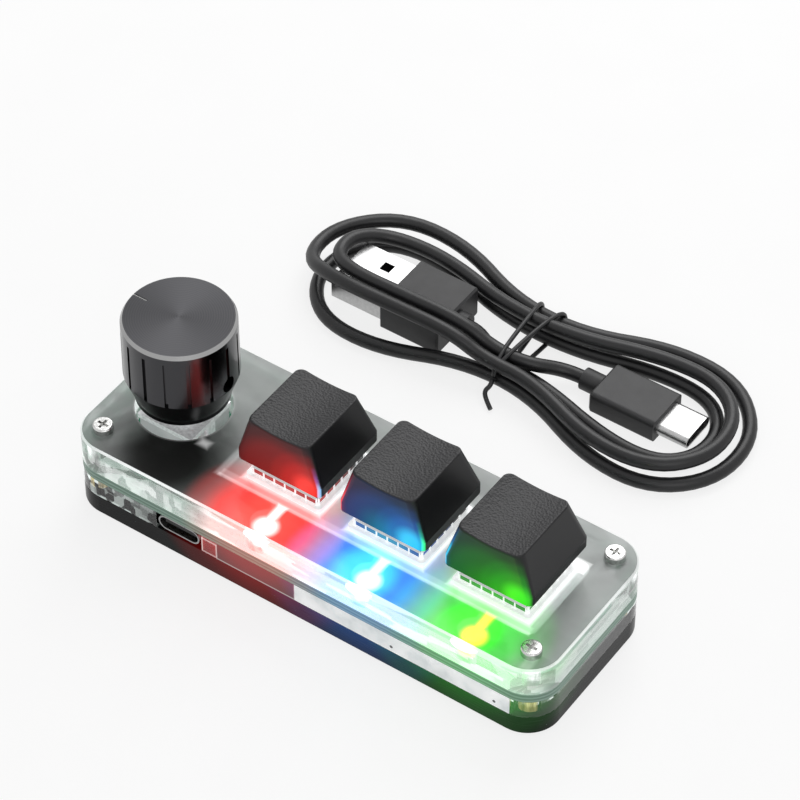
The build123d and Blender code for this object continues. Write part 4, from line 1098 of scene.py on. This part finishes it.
# %% Make the plain mouldings
PATCH_GRAINS = 12
NYLON_PIECES = ["usb_tongue", "a_plug_tongue", "encoder_rotor", "encoder_plunger"]
# Name, dark and light shade, roughness, size and depth of the grain in mm, and pieces
MOULDINGS = [
    ("extruded_pvc_jacket", "#101011", "#18181a", 0.4, 0.3, 0.03, ["lead_cable", "twist_tie"]),
    ("moulded_tpe_plug", "#262627", "#313132", 0.5, 0.25, 0.04, ["c_plug_body", "a_plug_body"]),
    ("moulded_rubber_foot", "#161616", "#202020", 0.75, 0.3, 0.05, ["rubber_feet"]),
    ("moulded_nylon_black", "#131314", "#1d1d1f", 0.45, 0.3, 0.03, NYLON_PIECES),
    ("moulded_nylon_grey", "#c3c5c6", "#d6d8d9", 0.4, 0.3, 0.02, ["encoder_base"]),
    ("moulded_acetal_red", "#a8201c", "#bd2a24", 0.4, 0.3, 0.02, per_key("switch_stem")),
    ("moulded_epoxy_chip", "#19191a", "#242425", 0.55, 0.2, 0.03, ["microcontroller"]),
    ("fired_ceramic_chip", "#8a7763", "#a08c76", 0.5, 0.2, 0.02, ["board_passives"]),
]


def shade_moulding(add, place, dark, light, roughness, grain, relief):
    """A plain moulded surface: two close shades in patches, and a grain of a given size and depth."""
    colour = two_tone(add, place, PATCH_GRAINS * grain * MM, dark, light)
    fine = add("TexNoise", place, Scale=1 / (grain * MM), Detail=2)
    bump = add("Bump", Height=fine, Strength=0.3, Distance=relief * MM)
    return add(
        "BsdfPrincipled", Base_Color=colour, Roughness=roughness, Specular_IOR_Level=0.4, Normal=bump
    )


for name, *finish, pieces in MOULDINGS:
    dress(new_material(name, shade_moulding, *finish), *pieces)
print("mouldings:", len(MOULDINGS))

# %% [markdown]
# ## The lamps themselves
# Under the frost sit three small lamps with clear lenses. A lens is almost white over the chip inside it and
# takes the lamp's colour further out, so its emission goes from one to the other with the distance.

# %% Light the lamps
LENS_REACH = 2.4 * MM


def shade_lit_lens(add, place, key):
    """A lit lens: the lamp's pale core at its top, and its strong colour further out."""
    lens_top = Vector((*middle(f"key_lamp_{key}").xy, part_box(f"key_lamp_{key}")[1].z))
    distance = add("VectorMath DISTANCE", place, lens_top)
    share = add("Math DIVIDE", distance, LENS_REACH)
    light = add("ValToRGB", share, stops=[(0.45, linear(LAMP_CORES[key])), (1.0, linear(LAMP_NEAR[key]))])
    return add(
        "BsdfPrincipled", Base_Color=light, Roughness=0.3, Emission_Color=light, Emission_Strength=1.5
    )


for key in KEYS:
    dress(new_material(f"lit_lamp_lens_{key}", shade_lit_lens, key), f"key_lamp_{key}")
print("lit lamps:", len(KEYS))

# %% [markdown]
# ## Floor, light and background
# The keypad stands on a plain pale floor. A large soft light from behind and above throws soft shadows
# towards the camera, and a weaker one fills the front. The world is white to the camera, to reflections
# and through the acrylic, but lights the rest less, so that colours stay as they are written.

# %% Set the stage
FLOOR_HALF = 0.9
FIBRE_PATCH = 1 / 60
# The share of plain white in the floor as it is seen, and the world's light on what isn't seen directly
FLOOR_WHITE = 0.8
WORLD_LIGHT = 0.5
shape = bmesh.new()
bmesh.ops.create_grid(shape, x_segments=1, y_segments=1, size=FLOOR_HALF)
floor = add_piece("studio_floor", shape)


def seen_directly(add):
    """One for rays that come straight from the camera, off gloss or through glass, and zero for the rest."""
    path = add("LightPath").outputs
    first = add("Math MAXIMUM", path["Is Camera Ray"], path["Is Glossy Ray"])
    return add("Math MAXIMUM", first, path["Is Transmission Ray"])


def shade_paper(add, place):
    """Pale matt paper that looks almost white."""
    fibre = two_tone(add, place, FIBRE_PATCH, "#f1f1f1", "#f5f5f5", detail=2)
    paper = add("BsdfDiffuse", Color=fibre)
    white = add("Emission", Color=linear("#ffffff"), Strength=1.0)
    share = add("Math MULTIPLY", seen_directly(add), FLOOR_WHITE)
    return add("MixShader", share, paper, white)


dress(new_material("studio_paper", shade_paper), "studio_floor")

# %% Light the stage
world = bpy.data.worlds.new("studio_world")
world.use_nodes = True
world.node_tree.nodes.clear()
add = partial(add_node, world.node_tree)
level = add("MapRange", seen_directly(add), To_Min=WORLD_LIGHT, To_Max=1.0)
sky = add("Background", Color=linear("#ffffff"), Strength=level)
add("OutputWorld", Surface=sky)
bpy.context.scene.world = world


def add_softbox(name, place, width, power):
    """A square area light that looks at the keypad."""
    light = bpy.data.lights.new(name, "AREA")
    light.shape = "SQUARE"
    light.size = width
    light.energy = power
    lamp = add_object(name, light)
    lamp.location = place
    lamp.rotation_euler = Vector(place).to_track_quat("Z", "Y").to_euler()


add_softbox("back_softbox", (-0.12, 0.45, 0.5), 0.45, 2.4)
add_softbox("front_softbox", (0.5, -0.45, 0.55), 0.5, 1.2)
bpy.context.scene.view_settings.view_transform = "Standard"
print("stage set")
